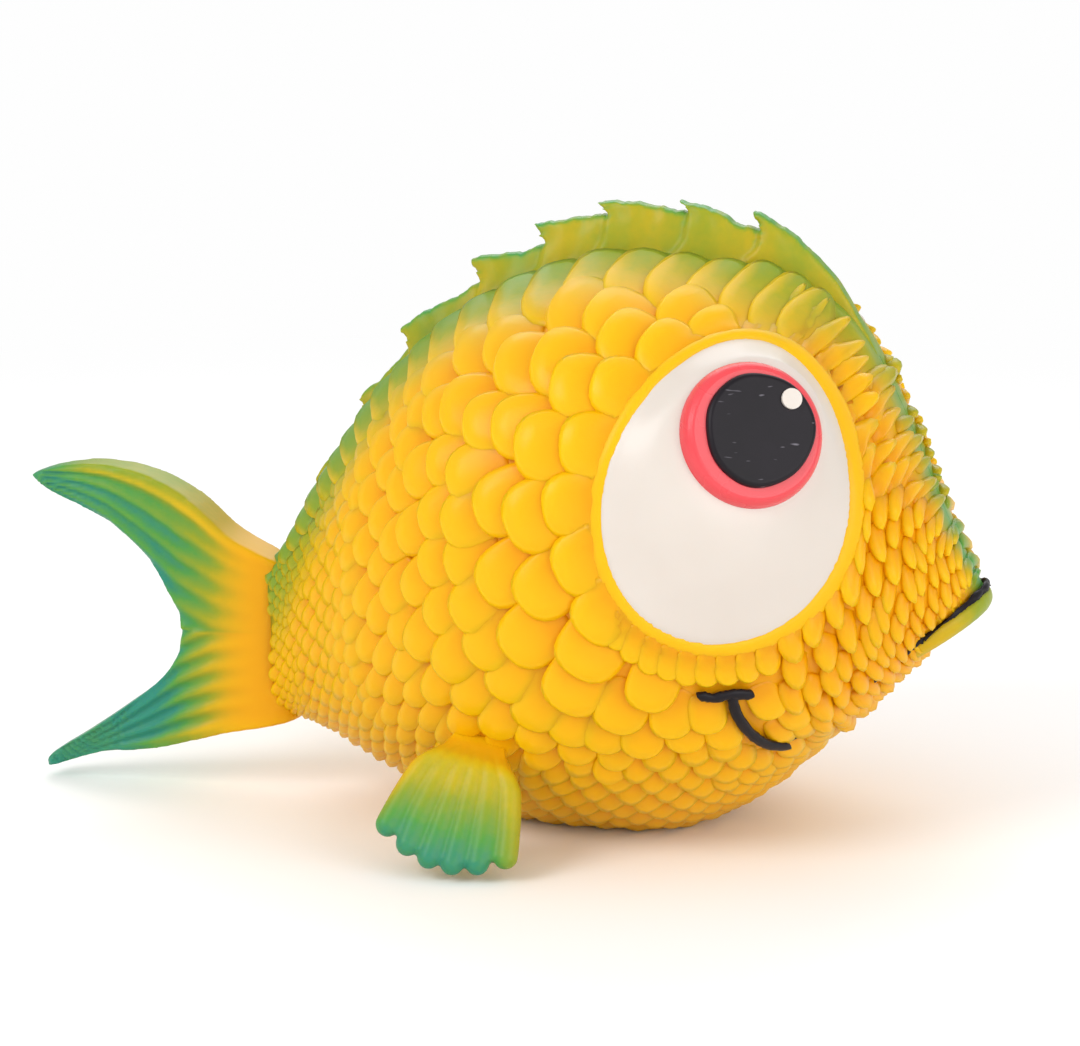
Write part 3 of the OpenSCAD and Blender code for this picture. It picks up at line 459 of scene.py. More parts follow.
def makeEnamel(name, look):
    # brushed rubber enamel: an even glossy film with faint brush waves and a few specks
    material, tree = newMaterial(name)
    place = addNode(tree, "TexCoord").outputs["Object"]
    cloud = addNode(tree, "TexNoise", Vector=place, Scale=look["cloudScale"], Detail=3.0)
    colour = colourRamp(tree, cloud, (0.3, look["shade"]), (0.7, look["colour"]))
    wave = addNode(tree, "TexNoise", Vector=place, Scale=450.0, Detail=1.0)
    bump = addNode(tree, "Bump", Height=wave, Strength=0.12, Distance=0.0001)
    gloss = addNode(tree, "MapRange", Value=cloud, To_Min=look["roughness"] - 0.03,
                    To_Max=look["roughness"] + 0.05)
    glow = {"Subsurface_Weight": look["subsurface"], "Subsurface_Radius": (1.0, 0.6, 0.45),
            "Subsurface_Scale": 0.0012} if "subsurface" in look else {}
    shader = addNode(tree, "BsdfPrincipled", Base_Color=colour, Roughness=gloss, Normal=bump, IOR=1.5,
                     Specular_IOR_Level=look.get("specular", 0.5), Metallic=look.get("metal", 0.0), **glow)
    addNode(tree, "OutputMaterial", Surface=shader)
    return material


latex = makeLatex("sprayed natural latex")
enamels = {
    "white": {"colour": "#ddd4cb", "shade": "#d8cec4", "roughness": 0.3, "cloudScale": 60.0,
              "subsurface": 0.1},
    "pink": {"colour": "#e94b53", "shade": "#e4454d", "roughness": 0.26, "cloudScale": 90.0,
             "subsurface": 0.15},
    "black": {"colour": "#1b161d", "shade": "#130f15", "roughness": 0.4, "cloudScale": 160.0,
              "specular": 0.25},
    "plastic": {"colour": "#f1f0ea", "shade": "#e9e8e1", "roughness": 0.35, "cloudScale": 120.0,
                "subsurface": 0.05},
    "brass": {"colour": "#cbab5d", "shade": "#b8974b", "roughness": 0.3, "cloudScale": 300.0,
              "metal": 1.0},
}
whiteEnamel = makeEnamel("white rubber enamel", enamels["white"])
pupilEnamel = makeEnamel("scratched black enamel", enamels["black"])
pinkEnamel = makeEnamel("coral rubber enamel", enamels["pink"])
blackEnamel = makeEnamel("black rubber enamel", enamels["black"])


def addScratches(material):
    # hair scratches a few tenths of a millimetre wide that catch the light on the pupil
    tree = material.node_tree
    shader = [n for n in tree.nodes if n.type == "BSDF_PRINCIPLED"][0]
    base = shader.inputs["Base Color"].links[0].from_socket
    place = addNode(tree, "TexCoord").outputs["Object"]
    strokes = []
    for turn, seed in ((0.7, 3.0), (-0.5, 8.0)):
        laid = addNode(tree, "Mapping", Vector=place, Rotation=(0.0, turn, 0.0),
                       Location=(seed, 0.0, seed), Scale=(0.16, 1.0, 2.2))
        noise = addNode(tree, "TexNoise", Vector=laid, Scale=1100.0, Detail=0.0)
        strokes.append(addNode(tree, "MapRange", Value=noise, From_Min=0.80, From_Max=0.90))
    mixed = addNode(tree, "Mix", {"data_type": "RGBA"}, in0=calculate(tree, "MAXIMUM", *strokes), in6=base,
                    in7=linearColour("#77737c"))
    tree.links.new(mixed.outputs[2], shader.inputs["Base Color"])


addScratches(pupilEnamel)
squeakerPlastic = makeEnamel("moulded polythene", enamels["plastic"])
reedBrass = makeEnamel("rolled brass strip", enamels["brass"])
print("materials made")


skinSettings = {"along": 170, "round": 150, "squeakerX": 16, "squeakerRadius": 7.25, "seatDepth": 1.6}


def followSide(piece):
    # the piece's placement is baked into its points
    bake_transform(piece)


def mirrored(piece, name):
    # the left side's copy of a piece of the right side
    mesh = piece.data.copy()
    reshape(mesh, lambda shape: bmesh.ops.scale(shape, vec=(1, -1, 1), verts=shape.verts),
            lambda shape: bmesh.ops.reverse_faces(shape, faces=shape.faces))
    return linkObject(name, mesh)


def makeSkin():
    shape = bmesh.new()
    bmesh.ops.create_grid(shape, x_segments=skinSettings["along"], y_segments=skinSettings["round"], size=1.0)
    places = np.array([v.co[:2] for v in shape.verts])
    share = (places[:, 0] + 1) / 2
    x = bodyForm["rootX"] + bodyForm["length"] * share ** 0.9
    top, low = np.interp(x, skinMap["x"], skinMap["top"]), np.interp(x, skinMap["x"], skinMap["low"])
    t = np.where(places[:, 1] > 0, places[:, 1] * top, places[:, 1] * low)
    edge = np.abs(places[:, 1]) > 1 - 1e-6
    points, _ = skinPoint(x, t, skinDepth(x, t))
    points[edge, 1] = 0
    # a round seat for the squeaker in the flat of the belly
    away = np.hypot(points[:, 0] - skinSettings["squeakerX"], points[:, 1])
    points = aboveFloor(points)
    seat = ease(away, skinSettings["squeakerRadius"] + 0.5, skinSettings["squeakerRadius"] - 0.3)
    points[:, 2] += seat * skinSettings["seatDepth"] * (points[:, 2] < 6)
    for vertex, point in zip(shape.verts, points):
        vertex.co = point * mm
    bmesh.ops.contextual_create(shape, geom=[e for e in shape.edges if e.is_boundary])
    mesh = meshFrom(shape, "body_skin_right")
    paint = airbrush(x, t)
    # painted light: the bare skin between the scales takes the painted crease shade, and the raised eye frame
    # and the brow are painted lighter, part way to the painted highlight
    relief = 0.30 + 0.4 * (1 - ease(eyeDistance(x, t), 1.0, 3.5))
    relief = relief + 0.2 * ease(crestWay(x) - t, 17, 11) * ease(x, 36, 44) * ease(x, 60, 53)
    relief = np.maximum(relief, 0.45 * paint)
    setMarks(mesh, airbrush=paint, relief=relief)
    return newObject("body_skin_right", mesh, latex)


skinRight = makeSkin()
reshape(skinRight.data, faceOutward)
skinLeft = mirrored(skinRight, "body_skin_left")
print("skin made:", len(skinRight.data.vertices), "points a side")


petalForms = {
    # for so many cells across: how far each ring reaches, and the ring at which the edge has turned down.
    # the rings are drawn out to the rim, and the foot draws in again under the free edge
    8: ([0, 0.46, 0.84, 1.0, 0.975], 0.76),
    6: ([0, 0.55, 0.98, 0.965], 0.7),
}


def petalTemplate(cells):
    # a rounded leaf of few faces: the grid's outer ring is its foot under the skin
    shape = bmesh.new()
    bmesh.ops.create_grid(shape, x_segments=cells, y_segments=cells, size=1.0)
    bmesh.ops.contextual_create(shape, geom=[e for e in shape.edges if e.is_boundary])
    mesh = meshFrom(shape, "petal")
    square = readVertices(mesh, "co")[:, :2]
    a, b = square.T
    disc = np.stack([a * np.sqrt(1 - b * b / 2), b * np.sqrt(1 - a * a / 2)], axis=1)
    ring = np.max(np.abs(square), axis=1)
    reaches, turnedDown = petalForms[cells]
    reach = np.interp(ring, np.linspace(0, 1, len(reaches)), reaches)
    disc = disc / np.maximum(np.hypot(disc[:, 0], disc[:, 1]), 1e-9)[:, None]
    return {"mesh": mesh, "unit": disc, "rim": np.where(ring < 1e-6, 0, reach), "foot": ring >= 1 - 1e-6,
            "edge": ease(ring, 0.5, turnedDown)}


bigPetal = petalTemplate(8)
smallPetal = petalTemplate(6)
lipLine = nodes["mouth_line"].data.vertices
lipTree = KDTree(len(lipLine))
for vertex in lipLine:
    lipTree.insert(vertex.co, vertex.index)
lipTree.balance()


def lipDistance(points):
    # distance to the painted line over the lip
    return np.array([lipTree.find(p * mm)[2] / mm if p[0] > 55 else 99 for p in points])


def petalPoints(template, scale):
    # the template laid on the skin: y runs from the root at -1 to the free tip at 1, x across
    unit, rim, foot = template["unit"], template["rim"], template["foot"]
    blunt = np.where(unit[:, 1] < 0, max(4.0, scale["blunt"]), scale["blunt"])
    swell = 1 / np.maximum(np.abs(unit[:, 0]) ** blunt + np.abs(unit[:, 1]) ** blunt, 1e-9) ** (1 / blunt)
    disc = unit * (rim * np.where(rim > 0, swell, 0))[:, None]
    across, along = disc[:, 0].copy(), disc[:, 1].copy()
    across = across * (1 - scale["point"] * np.clip(along, 0, 1) ** 1.5)
    toTip = np.clip((along + 1) / 2, 0, 1)
    lift = scale["root"] + (1 - scale["root"]) * toTip ** 1.15
    dome = 1 - scale["dome"] * disc[:, 0] ** 2
    edge = 1 - 0.34 * template["edge"]
    stand = scale["height"] * (lift * dome * edge + scale["roll"] * disc[:, 0])
    stand = np.where(foot, -0.3 * scale["height"] - 0.3, stand)
    d, halfLength, halfWide = scale["direction"], scale["length"] / 2, scale["width"] / 2
    x = scale["x"] + (d[0] * along * halfLength - d[1] * across * halfWide) / scale["stretch"]
    t = scale["t"] + (d[1] * along * halfLength + d[0] * across * halfWide) / scale["squash"]
    safe = np.clip(x, -31.8, 67.9)
    # roots sink into the eye's smooth frame and into the crest's foot
    sink = ease(eyeDistance(safe, t), 0.3, 1.9)
    sink = np.minimum(sink, np.where(safe < 50, ease(crestWay(safe) - t, 0.8, 2.4), 1.0))
    sink = np.minimum(sink, ease(lipDistance(skinPoint(safe, t, 0.4)[0]), 0.1, 1.1))
    stand = np.where(foot, stand, stand * sink - 0.5 * (1 - sink))
    points, _ = skinPoint(safe, t, stand + depthAt(safe, t))
    points[:, 0] += x - safe
    # painted light: the free edge and the tip get a painted highlight, and the root a painted crease shade
    relief = np.clip(0.08 + 0.72 * toTip ** 0.9 + 0.2 * ease(rim, 0.7, 1.0), 0, 1)
    relief = np.where(foot, 0.0, relief)
    paint = airbrush(safe, t)
    # spray misses the edge that turns down
    paint = paint * (1 - 0.45 * ease(along, 0.3, 0.95)) * np.where(foot, 1.1, 1)
    return aboveFloor(points), relief, paint


def buildScales(name, template, scales):
    shape = bmesh.new()
    for _ in scales:
        shape.from_mesh(template["mesh"])
    mesh = meshFrom(shape, name)
    made = [petalPoints(template, scale) for scale in scales]
    points, relief, paint = (np.concatenate(part) for part in zip(*made))
    setPoints(mesh, points)
    setMarks(mesh, relief=relief, airbrush=paint)
    reshape(mesh, faceOutward)
    return newObject(name, mesh, latex)


rings = {
    "start": 2.9,                     # the first ring's centres lie this far outside the eye's white, mm
    "count": 48,
    "pitch": (0.73, 0.62),            # from ring to ring, over the width: in staggered parts and in rows
    "stagger": (0.5, 0.2),            # how far a ring is shifted against the next, in the same parts
    "grain": 3.7, "grainLength": 5.0, # the face's grains: width and the length that shows
    "closest": 0.62, "farthest": 1.42, # between neighbours of a ring, over their width
}
dice = random.Random(7)


def degreesOf(turn):
    return (np.degrees(turn) + 180) % 360 - 180


def faceShare(turn):
    degrees = degreesOf(turn)
    return ease(degrees, -84, -66) * ease(degrees, 92, 84)


def grainWay(turn):
    # the face's grains hang down below the middle of the eye and stand up above it
    return np.where((degreesOf(turn) > 3)[..., None], [0.46, 0.89], [-0.2, -0.98])


def rowShare(x, t):
    # behind the eye the scales lie nearly one behind another; the belly and the rear are staggered
    return ease(skinPoint(x, t)[0][..., 2], 24, 34) * ease(x, -14, 0)


def grainSizes(x):
    # width and showing length of a grain, which shrink towards the nose
    nose = ease(x, 46, 67)
    return rings["grain"] * (1 - 0.42 * nose), rings["grainLength"] * (1 - 0.45 * nose)


def ringSizes(turn, x, t, out):
    # spacing round a ring and pitch from ring to ring
    face = faceShare(turn)
    width = scaleWidth(x, t)
    wide, long = grainSizes(x)
    lean = np.abs(np.sum(grainWay(turn) * out, axis=-1))
    around = face * (wide * lean + long * (1 - lean)) + (1 - face) * width
    row = rowShare(x, t)
    share = rings["pitch"][0] * (1 - row) + rings["pitch"][1] * row
    pitch = face * (long * lean + wide * (1 - lean)) + (1 - face) * share * width
    return around, pitch


def withinBody(x):
    # the form is steepest at the body's ends, so nothing is read there
    return np.clip(x, -31.9, 67.9)


def stretchAt(x, t):
    # how much longer the skin is than its side view along x
    front, rear = withinBody(x + 0.4), withinBody(x - 0.4)
    step = np.linalg.norm(skinPoint(front, t)[0] - skinPoint(rear, t)[0], axis=-1)
    return np.clip(step / np.maximum(front - rear, 0.1), 1, 3)


def placeRings():
    # staggered rings of scales that spread from the eye over the whole side
    turns, count = edgeTurns, len(edgeTurns)
    reach = rings["start"] - 0.9 * faceShare(turns)
    found, marks = [], None
    share = np.linspace(0, 1, count + 1)
    for ring in range(rings["count"]):
        x = edgePlace[:, 0] + edgeOut[:, 0] * reach
        t = edgePlace[:, 1] + edgeOut[:, 1] * reach
        safeX = withinBody(x)
        around, pitch = ringSizes(turns, safeX, t, edgeOut)
        stretch, squash = stretchAt(safeX, t), squashAt(safeX, t)
        steps = np.hypot(np.diff(x, append=x[:1]) * stretch, np.diff(t, append=t[:1]) * squash) / around
        way = np.concatenate([[0], np.cumsum(steps)])
        total = way[-1]

        def wayOf(mark):
            return np.interp(mark % 1.0, share, way) + total * math.floor(mark)

        def markOf(w):
            return float(np.interp(w % total, way, share) + math.floor(w / total))

        if marks is None:
            marks = [markOf(w) for w in np.linspace(0, total, int(total), endpoint=False)]
        else:
            ways = []
            for a, b in zip(marks, marks[1:] + [marks[0] + 1]):
                k = int((a % 1.0) * count) % count
                row = rowShare(safeX[k], t[k]) * (1 - faceShare(turns[k]))
                shift = rings["stagger"][0] * (1 - row) + rings["stagger"][1] * row * (1 if ring % 2 else -1)
                ways.append(wayOf(a + (b - a) * shift))
            ways.sort()
            kept = []
            for w in ways:
                if kept and w - kept[-1] < rings["closest"]:
                    continue
                if kept and w - kept[-1] > rings["farthest"]:
                    kept.append((w + kept[-1]) / 2)
                kept.append(w)
            if kept[0] + total - kept[-1] < rings["closest"]:
                kept.pop()
            for _ in range(3):
                before, after = [kept[-1] - total] + kept[:-1], kept[1:] + [kept[0] + total]
                kept = [w + 0.3 * ((a + b) / 2 - w) for w, a, b in zip(kept, before, after)]
            marks = sorted(markOf(w) for w in kept)
        for mark in marks:
            place = (mark % 1.0) * count
            i, f = int(place) % count, place - int(place)
            j = (i + 1) % count
            out = edgeOut[i] * (1 - f) + edgeOut[j] * f
            found.append({"x": float(x[i] * (1 - f) + x[j] * f), "t": float(t[i] * (1 - f) + t[j] * f),
                          "turn": float(turns[i]), "out": out / np.linalg.norm(out), "away": float(reach[i])})
        step = pitch / np.maximum(np.hypot(edgeOut[:, 0] * stretch, edgeOut[:, 1] * squash), 0.5)
        reach = reach + sum(np.roll(step, k) for k in range(-6, 7)) / 13
    return found


mouthForm = {
    # the jaw's painted line from the lip's end to the smile, in the side view
    "jaw": [(61.0, 29.2), (58.0, 26.3), (54.5, 23.2), (51.0, 20.4), (47.5, 17.8), (43.6, 15.9)],
    "smile": [(37.9, 25.3), (38.3, 22.4), (39.6, 19.3), (41.4, 16.9), (43.6, 15.8)],
    "bar": [(33.6, 25.7), (35.6, 25.1), (37.8, 25.5), (40.4, 25.2)],
}


def strokePlaces(line, steps=24):
    # a smooth path through points of the side view, on the unrolled side
    pts = np.array(line, float)
    out = []
    for i in range(len(pts) - 1):
        near = [pts[min(max(i + k, 0), len(pts) - 1)] for k in (-1, 0, 1, 2)]
        out += [curveThrough(*near, s) for s in np.linspace(0, 1, steps, endpoint=False)]
    x, z = np.array(out + [pts[-1]]).T
    return np.stack([x, wayRound(x, z)], axis=1)


strokes = {name: strokePlaces(line) for name, line in mouthForm.items()}


def strokeDistance(x, t, name):
    line = strokes[name]
    return np.min(np.hypot(line[:, 0] - x, line[:, 1] - t))


def turned(d, angle):
    c, s = cos(angle), sin(angle)
    return np.array([d[0] * c - d[1] * s, d[0] * s + d[1] * c])


def normalised(d):
    return np.array(d) / np.linalg.norm(d)


def oneScale(x, t, d, length, width, height, **more):
    return {"x": x, "t": t, "direction": normalised(d), "length": length, "width": width,
            "height": height, "point": 0.06, "root": 0.04, "dome": 0.3, "roll": -0.1, "blunt": 2.0,
            "stretch": stretchAt(x, t), "squash": squashAt(x, t), **more}


crestRow = {
    # the tall scales under the crest: height in the side view, spacing, and how far below the crest's line
    "places": [-30, -24, -12, 0, 14, 28, 45],
    "tall": [2.4, 4.2, 6.6, 8.4, 9.2, 8.6, 7.6], "spacing": [2.2, 3.2, 4.4, 5.4, 6.0, 5.6, 4.6],
    "start": 43.5, "foot": 5.0,
}


def placeCrestRow():
    out, x = [], crestRow["start"]
    while x > -29:
        tall, spacing = (np.interp(x, crestRow["places"], crestRow[name]) for name in ("tall", "spacing"))
        top = crestWay(x) - min(crestRow["foot"], 0.35 * tall + 1.9)
        t, seen = top, 0.0
        while seen < tall:
            t -= 0.25
            seen += 0.25 * squashAt(x, t)
        slope = (crestWay(x + 1) - crestWay(x - 1)) / 2
        d = np.array([-1.0, -slope * 0.8 + 0.10])
        vary = dice.uniform(0.93, 1.08)
        out.append(oneScale(x, (t + top) / 2, d, spacing * 1.6, tall * vary * 1.06, 0.3 * spacing + 0.35,
                            blunt=2.1, point=0.0, dome=0.12, roll=-0.2, squash=tall / (top - t), low=t))
        x -= spacing * dice.uniform(0.93, 1.07) / stretchAt(x, t)
    return out


browRow = {
    # the fingers that stand up from the eye's frame to the brow: where on the eye's edge, and size
    "turns": [86, 77, 68, 59.5, 51, 43, 35, 28], "length": [7.0, 7.8, 8.0, 7.8, 7.4, 6.8, 6.2, 5.4],
    "width": 3.5, "lean": (0.40, 0.92), "start": 0.7,
    # three more behind them: place along the body and round it, and length
    "behind": [(52.2, 31.2, 5.4), (53.6, 27.3, 5.2), (54.9, 23.6, 4.9)], "behindWidth": 3.1,
}


def placeBrowRow():
    out = []
    for degrees, length in zip(browRow["turns"], browRow["length"]):
        k = int(degrees * 2)
        d = 0.55 * edgeOut[k] + 0.45 * np.array(browRow["lean"])
        d = turned(normalised(d), dice.uniform(-0.1, 0.1))
        x0, t0 = edgePlace[k] + edgeOut[k] * browRow["start"]
        squash, stretch = squashAt(x0, t0 + 3), stretchAt(x0, t0)
        length = length * dice.uniform(0.92, 1.08)
        x, t = x0 + d[0] * length / 2 / stretch, t0 + d[1] * length / 2 / squash
        out.append(oneScale(x, t, d, length, browRow["width"] * dice.uniform(0.9, 1.08), 1.5, point=0.2,
                            root=0.0, dome=0.7, roll=-0.12, squash=squash, stretch=stretch, blunt=2.2))
    return out


cheekRow = {
    # the fat tongues that hang from the eye's frame over the smile
    "turns": [-132, -124, -116, -108.5, -101, -93.5, -86, -78.5, -71], "length": 5.6, "width": 4.3,
}


def placeCheekRow():
    out = []
    for degrees in cheekRow["turns"]:
        k = int((degrees % 360) * 2)
        d = normalised(0.3 * edgeOut[k] + 0.7 * np.array([-0.22, -0.97]))
        x, t = edgePlace[k] + edgeOut[k] * 0.6 + d * cheekRow["length"] * 0.46
        d = turned(d, dice.uniform(-0.06, 0.06))
        out.append(oneScale(x, t, d, cheekRow["length"] * dice.uniform(0.95, 1.06), cheekRow["width"], 1.35,
                            point=0.1, root=0.35, dome=0.45, roll=-0.22, blunt=2.5))
    return out


def makeScales():
    crest, brow, cheek = placeCrestRow(), placeBrowRow(), placeCheekRow()
    crestX = [s["x"] for s in crest][::-1]
    crestLow = [s["low"] for s in crest][::-1]
    big, small = [], []
    for spot in placeRings():
        x, t = spot["x"], spot["t"]
        if not (-31.5 < x < 67.6 and t > -np.interp(x, skinMap["x"], skinMap["low"]) + 0.3):
            continue
        degrees = degreesOf(spot["turn"])
        around, pitch = ringSizes(spot["turn"], x, t, spot["out"])
        limit = crestWay(x) - np.interp(x, [-32, -26, 50, 54, 62, 66], [2.0, 3.5, 6.0, 4.5, 2.0, 0.5])
        if x < crestRow["start"] + 2:
            limit = np.interp(x, crestX, crestLow) + 0.10 * around / squashAt(x, t)
        # room for the brow's fingers and for the tongues under the eye
        onBrow = 24 < degrees < 92 and (x < 48.5 or spot["away"] < 7.5)
        underEye = -136 < degrees < -67 and spot["away"] < 6.0
        if t > limit or onBrow or underEye:
            continue
        out = spot["out"]
        if faceShare(spot["turn"]) > 0.5:
            d = turned(grainWay(spot["turn"]), dice.uniform(-0.24, 0.24))
            wide, long = grainSizes(x)
            width, length = wide * dice.uniform(0.95, 1.28), long * dice.uniform(1.3, 1.55)
            if degrees < -50:
                width, length = width * 1.12, length * 0.85
            if d[1] > 0:
                # a tip ends at the middle of the forehead
                room = 2 * squashAt(x, t) * (crestWay(x + 0.5) - t - 0.3) / d[1]
                length = min(length, max(room, 0.7 * width))
            height = 0.54 * width
            shape = {"point": 0.06 if degrees < 3 else 0.14, "root": 0.24, "dome": 0.66, "roll": -0.14,
                     "blunt": 2.3}
        else:
            # plain scales on the flank droop a little towards the belly
            droop = ease(out[0], -0.1, -0.9) * 0.30
            d = turned(normalised(out + [0, -droop]), dice.uniform(-0.1, 0.1))
            length, width = pitch * dice.uniform(1.7, 2.0), around * dice.uniform(1.1, 1.26)
            low = ease(skinPoint(x, t)[0][2], 20, 8)
            height = scaleSizes["rise"] * width * dice.uniform(0.92, 1.08)
            shape = {"point": 0.04 + 0.34 * low, "blunt": 2.9 - 0.6 * low}
        margin = 0.30 * min(width, length) + 0.55
        if strokeDistance(x, t, "smile") < margin or strokeDistance(x, t, "bar") < margin:
            continue
        jitter = 0.05 * around
        x, t = x + dice.uniform(-jitter, jitter), t + dice.uniform(-jitter, jitter)
        scale = oneScale(x, t, d, length, width, height, **shape)
        (big if min(width, length) > 5.0 else small).append(scale)
    # round grains between the crest row and the eye
    for x, below, size in ((31.2, 10.5, 1.7), (36.0, 9.5, 1.5), (26.5, 8.0, 1.1), (40.5, 12.0, 1.2)):
        small.append(oneScale(x, crestWay(x) - below, (-1, 0), size, size, 0.9, dome=0.5, root=0.8, point=0))
    for x, t, length in browRow["behind"]:
        d = turned(browRow["lean"], dice.uniform(-0.1, 0.1))
        small.append(oneScale(x, t, d, length, browRow["behindWidth"], 1.35, point=0.2, root=0.1, dome=0.66,
                              roll=-0.12, blunt=2.2))
    big += [s for s in crest if s["width"] > 5]
    small += [s for s in crest if s["width"] <= 5]
    return big + brow + cheek, small


bigScales, smallScales = makeScales()
print("scales placed:", len(bigScales), "big and", len(smallScales), "small a side")
scalesBigRight = buildScales("flank_scales_right", bigPetal, bigScales)
scalesSmallRight = buildScales("small_scales_right", smallPetal, smallScales)
scalesBigLeft = mirrored(scalesBigRight, "flank_scales_left")
scalesSmallLeft = mirrored(scalesSmallRight, "small_scales_left")
for piece, side in ((skinRight, "right"), (skinLeft, "left"), (scalesBigRight, "right"),
                    (scalesBigLeft, "left"), (scalesSmallRight, "right"), (scalesSmallLeft, "left")):
    followSide(piece)
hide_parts("right_flank", "body_shell")
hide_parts("left_flank", "body_shell")
print("scales made")


def organicCopy(name, node, voxel, smoothing):
    # a copy of a node's mesh, remeshed fine and smoothed, ready to be modelled
    mesh = nodes[node].data.copy()
    reshape(mesh, lambda shape: bmesh.ops.remove_doubles(shape, verts=shape.verts, dist=1e-6), faceOutward)
    mesh.materials.clear()
    piece = linkObject(name, mesh)
    remesh = piece.modifiers.new("even faces", "REMESH")
    remesh.mode = "VOXEL"
    remesh.voxel_size = voxel * mm
    soften = piece.modifiers.new("soften", "SMOOTH")
    soften.iterations = smoothing
    soften.factor = 0.5
    bpy.context.view_layer.update()
    final = bpy.data.meshes.new_from_object(piece.evaluated_get(bpy.context.evaluated_depsgraph_get()))
    piece.modifiers.clear()
    old = piece.data
    piece.data = final
    final.name = name
    bpy.data.meshes.remove(old)
    setMaterial(final, latex)
    final.polygons.foreach_set("use_smooth", [True] * len(final.polygons))
    return piece


tailForm = {
    "voxel": 0.42, "soften": 6, "fork": 23.0, "root": 34, "length": 34,
    "ribs": 4.5, "ribDepth": 0.36, "bead": 0.10, "intoBody": 3.4, "thinRoot": 0.12,
    # the upper lobe's outer edge and the lower lobe's tip hang lower than they were cast, mm
    "shoulder": 1.3, "lowTip": 0.9,
    # green: on the two lobes, along the fork, lost between the ribs, and at the root
    "greenUp": 0.65, "greenLow": 0.95, "greenFork": 0.28, "greenRib": 0.13, "greenRoot": 0.20,
    # the lines along which the ribs part above and below the fork: place along the tail and height, mm
    "partX": [-68, -65.5, -60, -56.4, -50.2, -46, -41, -33],
    "partUp": [44.2, 42.2, 39.6, 37.4, 31.5, 27.4, 24.9, 23.8],
    "partLow": [2.6, 4.6, 7.6, 9.6, 14.6, 18.2, 20.6, 22.4],
}


def makeTail():
    piece = organicCopy("tail_skin", "tail_fin", tailForm["voxel"], tailForm["soften"])
    x, y, z = getPoints(piece.data).T
    upper = z > tailForm["fork"]
    # the outer edge of each lobe, from place to place along the tail
    places = np.arange(-69, -31, 1.0)
    edges = {}
    for side, pick, last in (("up", upper, np.max), ("low", ~upper, np.min)):
        slices = [z[pick & (np.abs(x - at) < 0.9)] for at in places]
        line = np.array([last(zs) if len(zs) else np.nan for zs in slices])
        known = ~np.isnan(line)
        edges[side] = np.interp(x, places, np.interp(places, places[known], line[known]))
    outerZ = np.where(upper, edges["up"], edges["low"])
    innerZ = np.where(upper, np.interp(x, tailForm["partX"], tailForm["partUp"]),
                      np.interp(x, tailForm["partX"], tailForm["partLow"]))
    span = outerZ - innerZ
    share = np.clip((z - innerZ) / np.where(np.abs(span) < 1.0, np.where(upper, 1.0, -1.0), span), -0.6, 1)
    # ribs run along the lobes from the root and fade at the thick edges
    along = np.clip((-x - tailForm["root"]) / tailForm["length"], 0, 1)
    rib = np.cos(share * tailForm["ribs"] * 2 * math.pi + 0.6)
    reach = ease(along, 0.04, 0.34) * ease(share, 1.0, 0.86) * ease(along, 1.0, 0.9)
    half = np.maximum(np.interp(-x, [32, 36, 68], [4, 4, 1.5]), 0.1)
    flat = ease(np.abs(y) / half, 0.35, 0.8)
    y = y + np.sign(y) * flat * reach * rib * tailForm["ribDepth"]
    # the thick edges bead a little
    bead = ease(share, 0.88, 0.96) * ease(along, 0.05, 0.3) * ease(along, 1, 0.8)
    y = y * (1 + tailForm["bead"] * bead)
    # the root runs on into the body under the first scales
    pull = ease(x, -40, -32.3)
    x = x + pull * tailForm["intoBody"]
    y = y * (1 - tailForm["thinRoot"] * pull)
    z = z - ease(x, -46, -36) * ease(share, 0.5, 1.0) * upper * tailForm["shoulder"]
    z = z - tailForm["lowTip"] * ease(-x, 48, 66) * ~upper
    setPoints(piece.data, np.stack([x, y, z], axis=1))
    bareUp = ease(share, 0.55, 0.9) * ease(along, 0.98, 0.72)
    bareLow = ease(share, 0.6, 0.95) * ease(along, 0.75, 0.45)
    paint = np.where(upper, tailForm["greenUp"] * ease(along, 0.0, 0.5) * (1 - 0.62 * bareUp),
                     tailForm["greenLow"] * ease(along, 0.08, 0.58) * (1 - 0.45 * bareLow))
    forkEdge = tailForm["greenFork"] * ease(share, 0.25, 0.0)
    paint = paint + forkEdge * ease(along, 0.28, 0.5) * ease(along, 0.9, 0.6)
    paint = paint - tailForm["greenRib"] * rib * reach + tailForm["greenRoot"] * ease(along, 0.0, 0.2)
    # painted light: the ribs' crests and the thick beaded edges are painted lighter, and the grooves between
    # the ribs get painted shade
    relief = 0.42 + 0.32 * rib * reach + 0.2 * ease(share, 0.8, 1)
    setMarks(piece.data, airbrush=np.clip(paint, 0, 0.95), relief=np.clip(relief, 0, 1))
    return piece


tailPiece = makeTail()
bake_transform(tailPiece)
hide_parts("tail_fin")
print("tail made:", len(tailPiece.data.vertices), "points")


finForm = {
    "place": (4, -31.366, 17.316), "pitch": 12.4, "splay": 30, "voxel": 0.3, "soften": 5,
    # the root is thinner and narrower than it was cast, and lies deeper under the scales, mm
    "thinRoot": 0.4, "narrowRoot": 0.42, "sink": 2.8, "swell": 0.55, "green": 0.58,
}


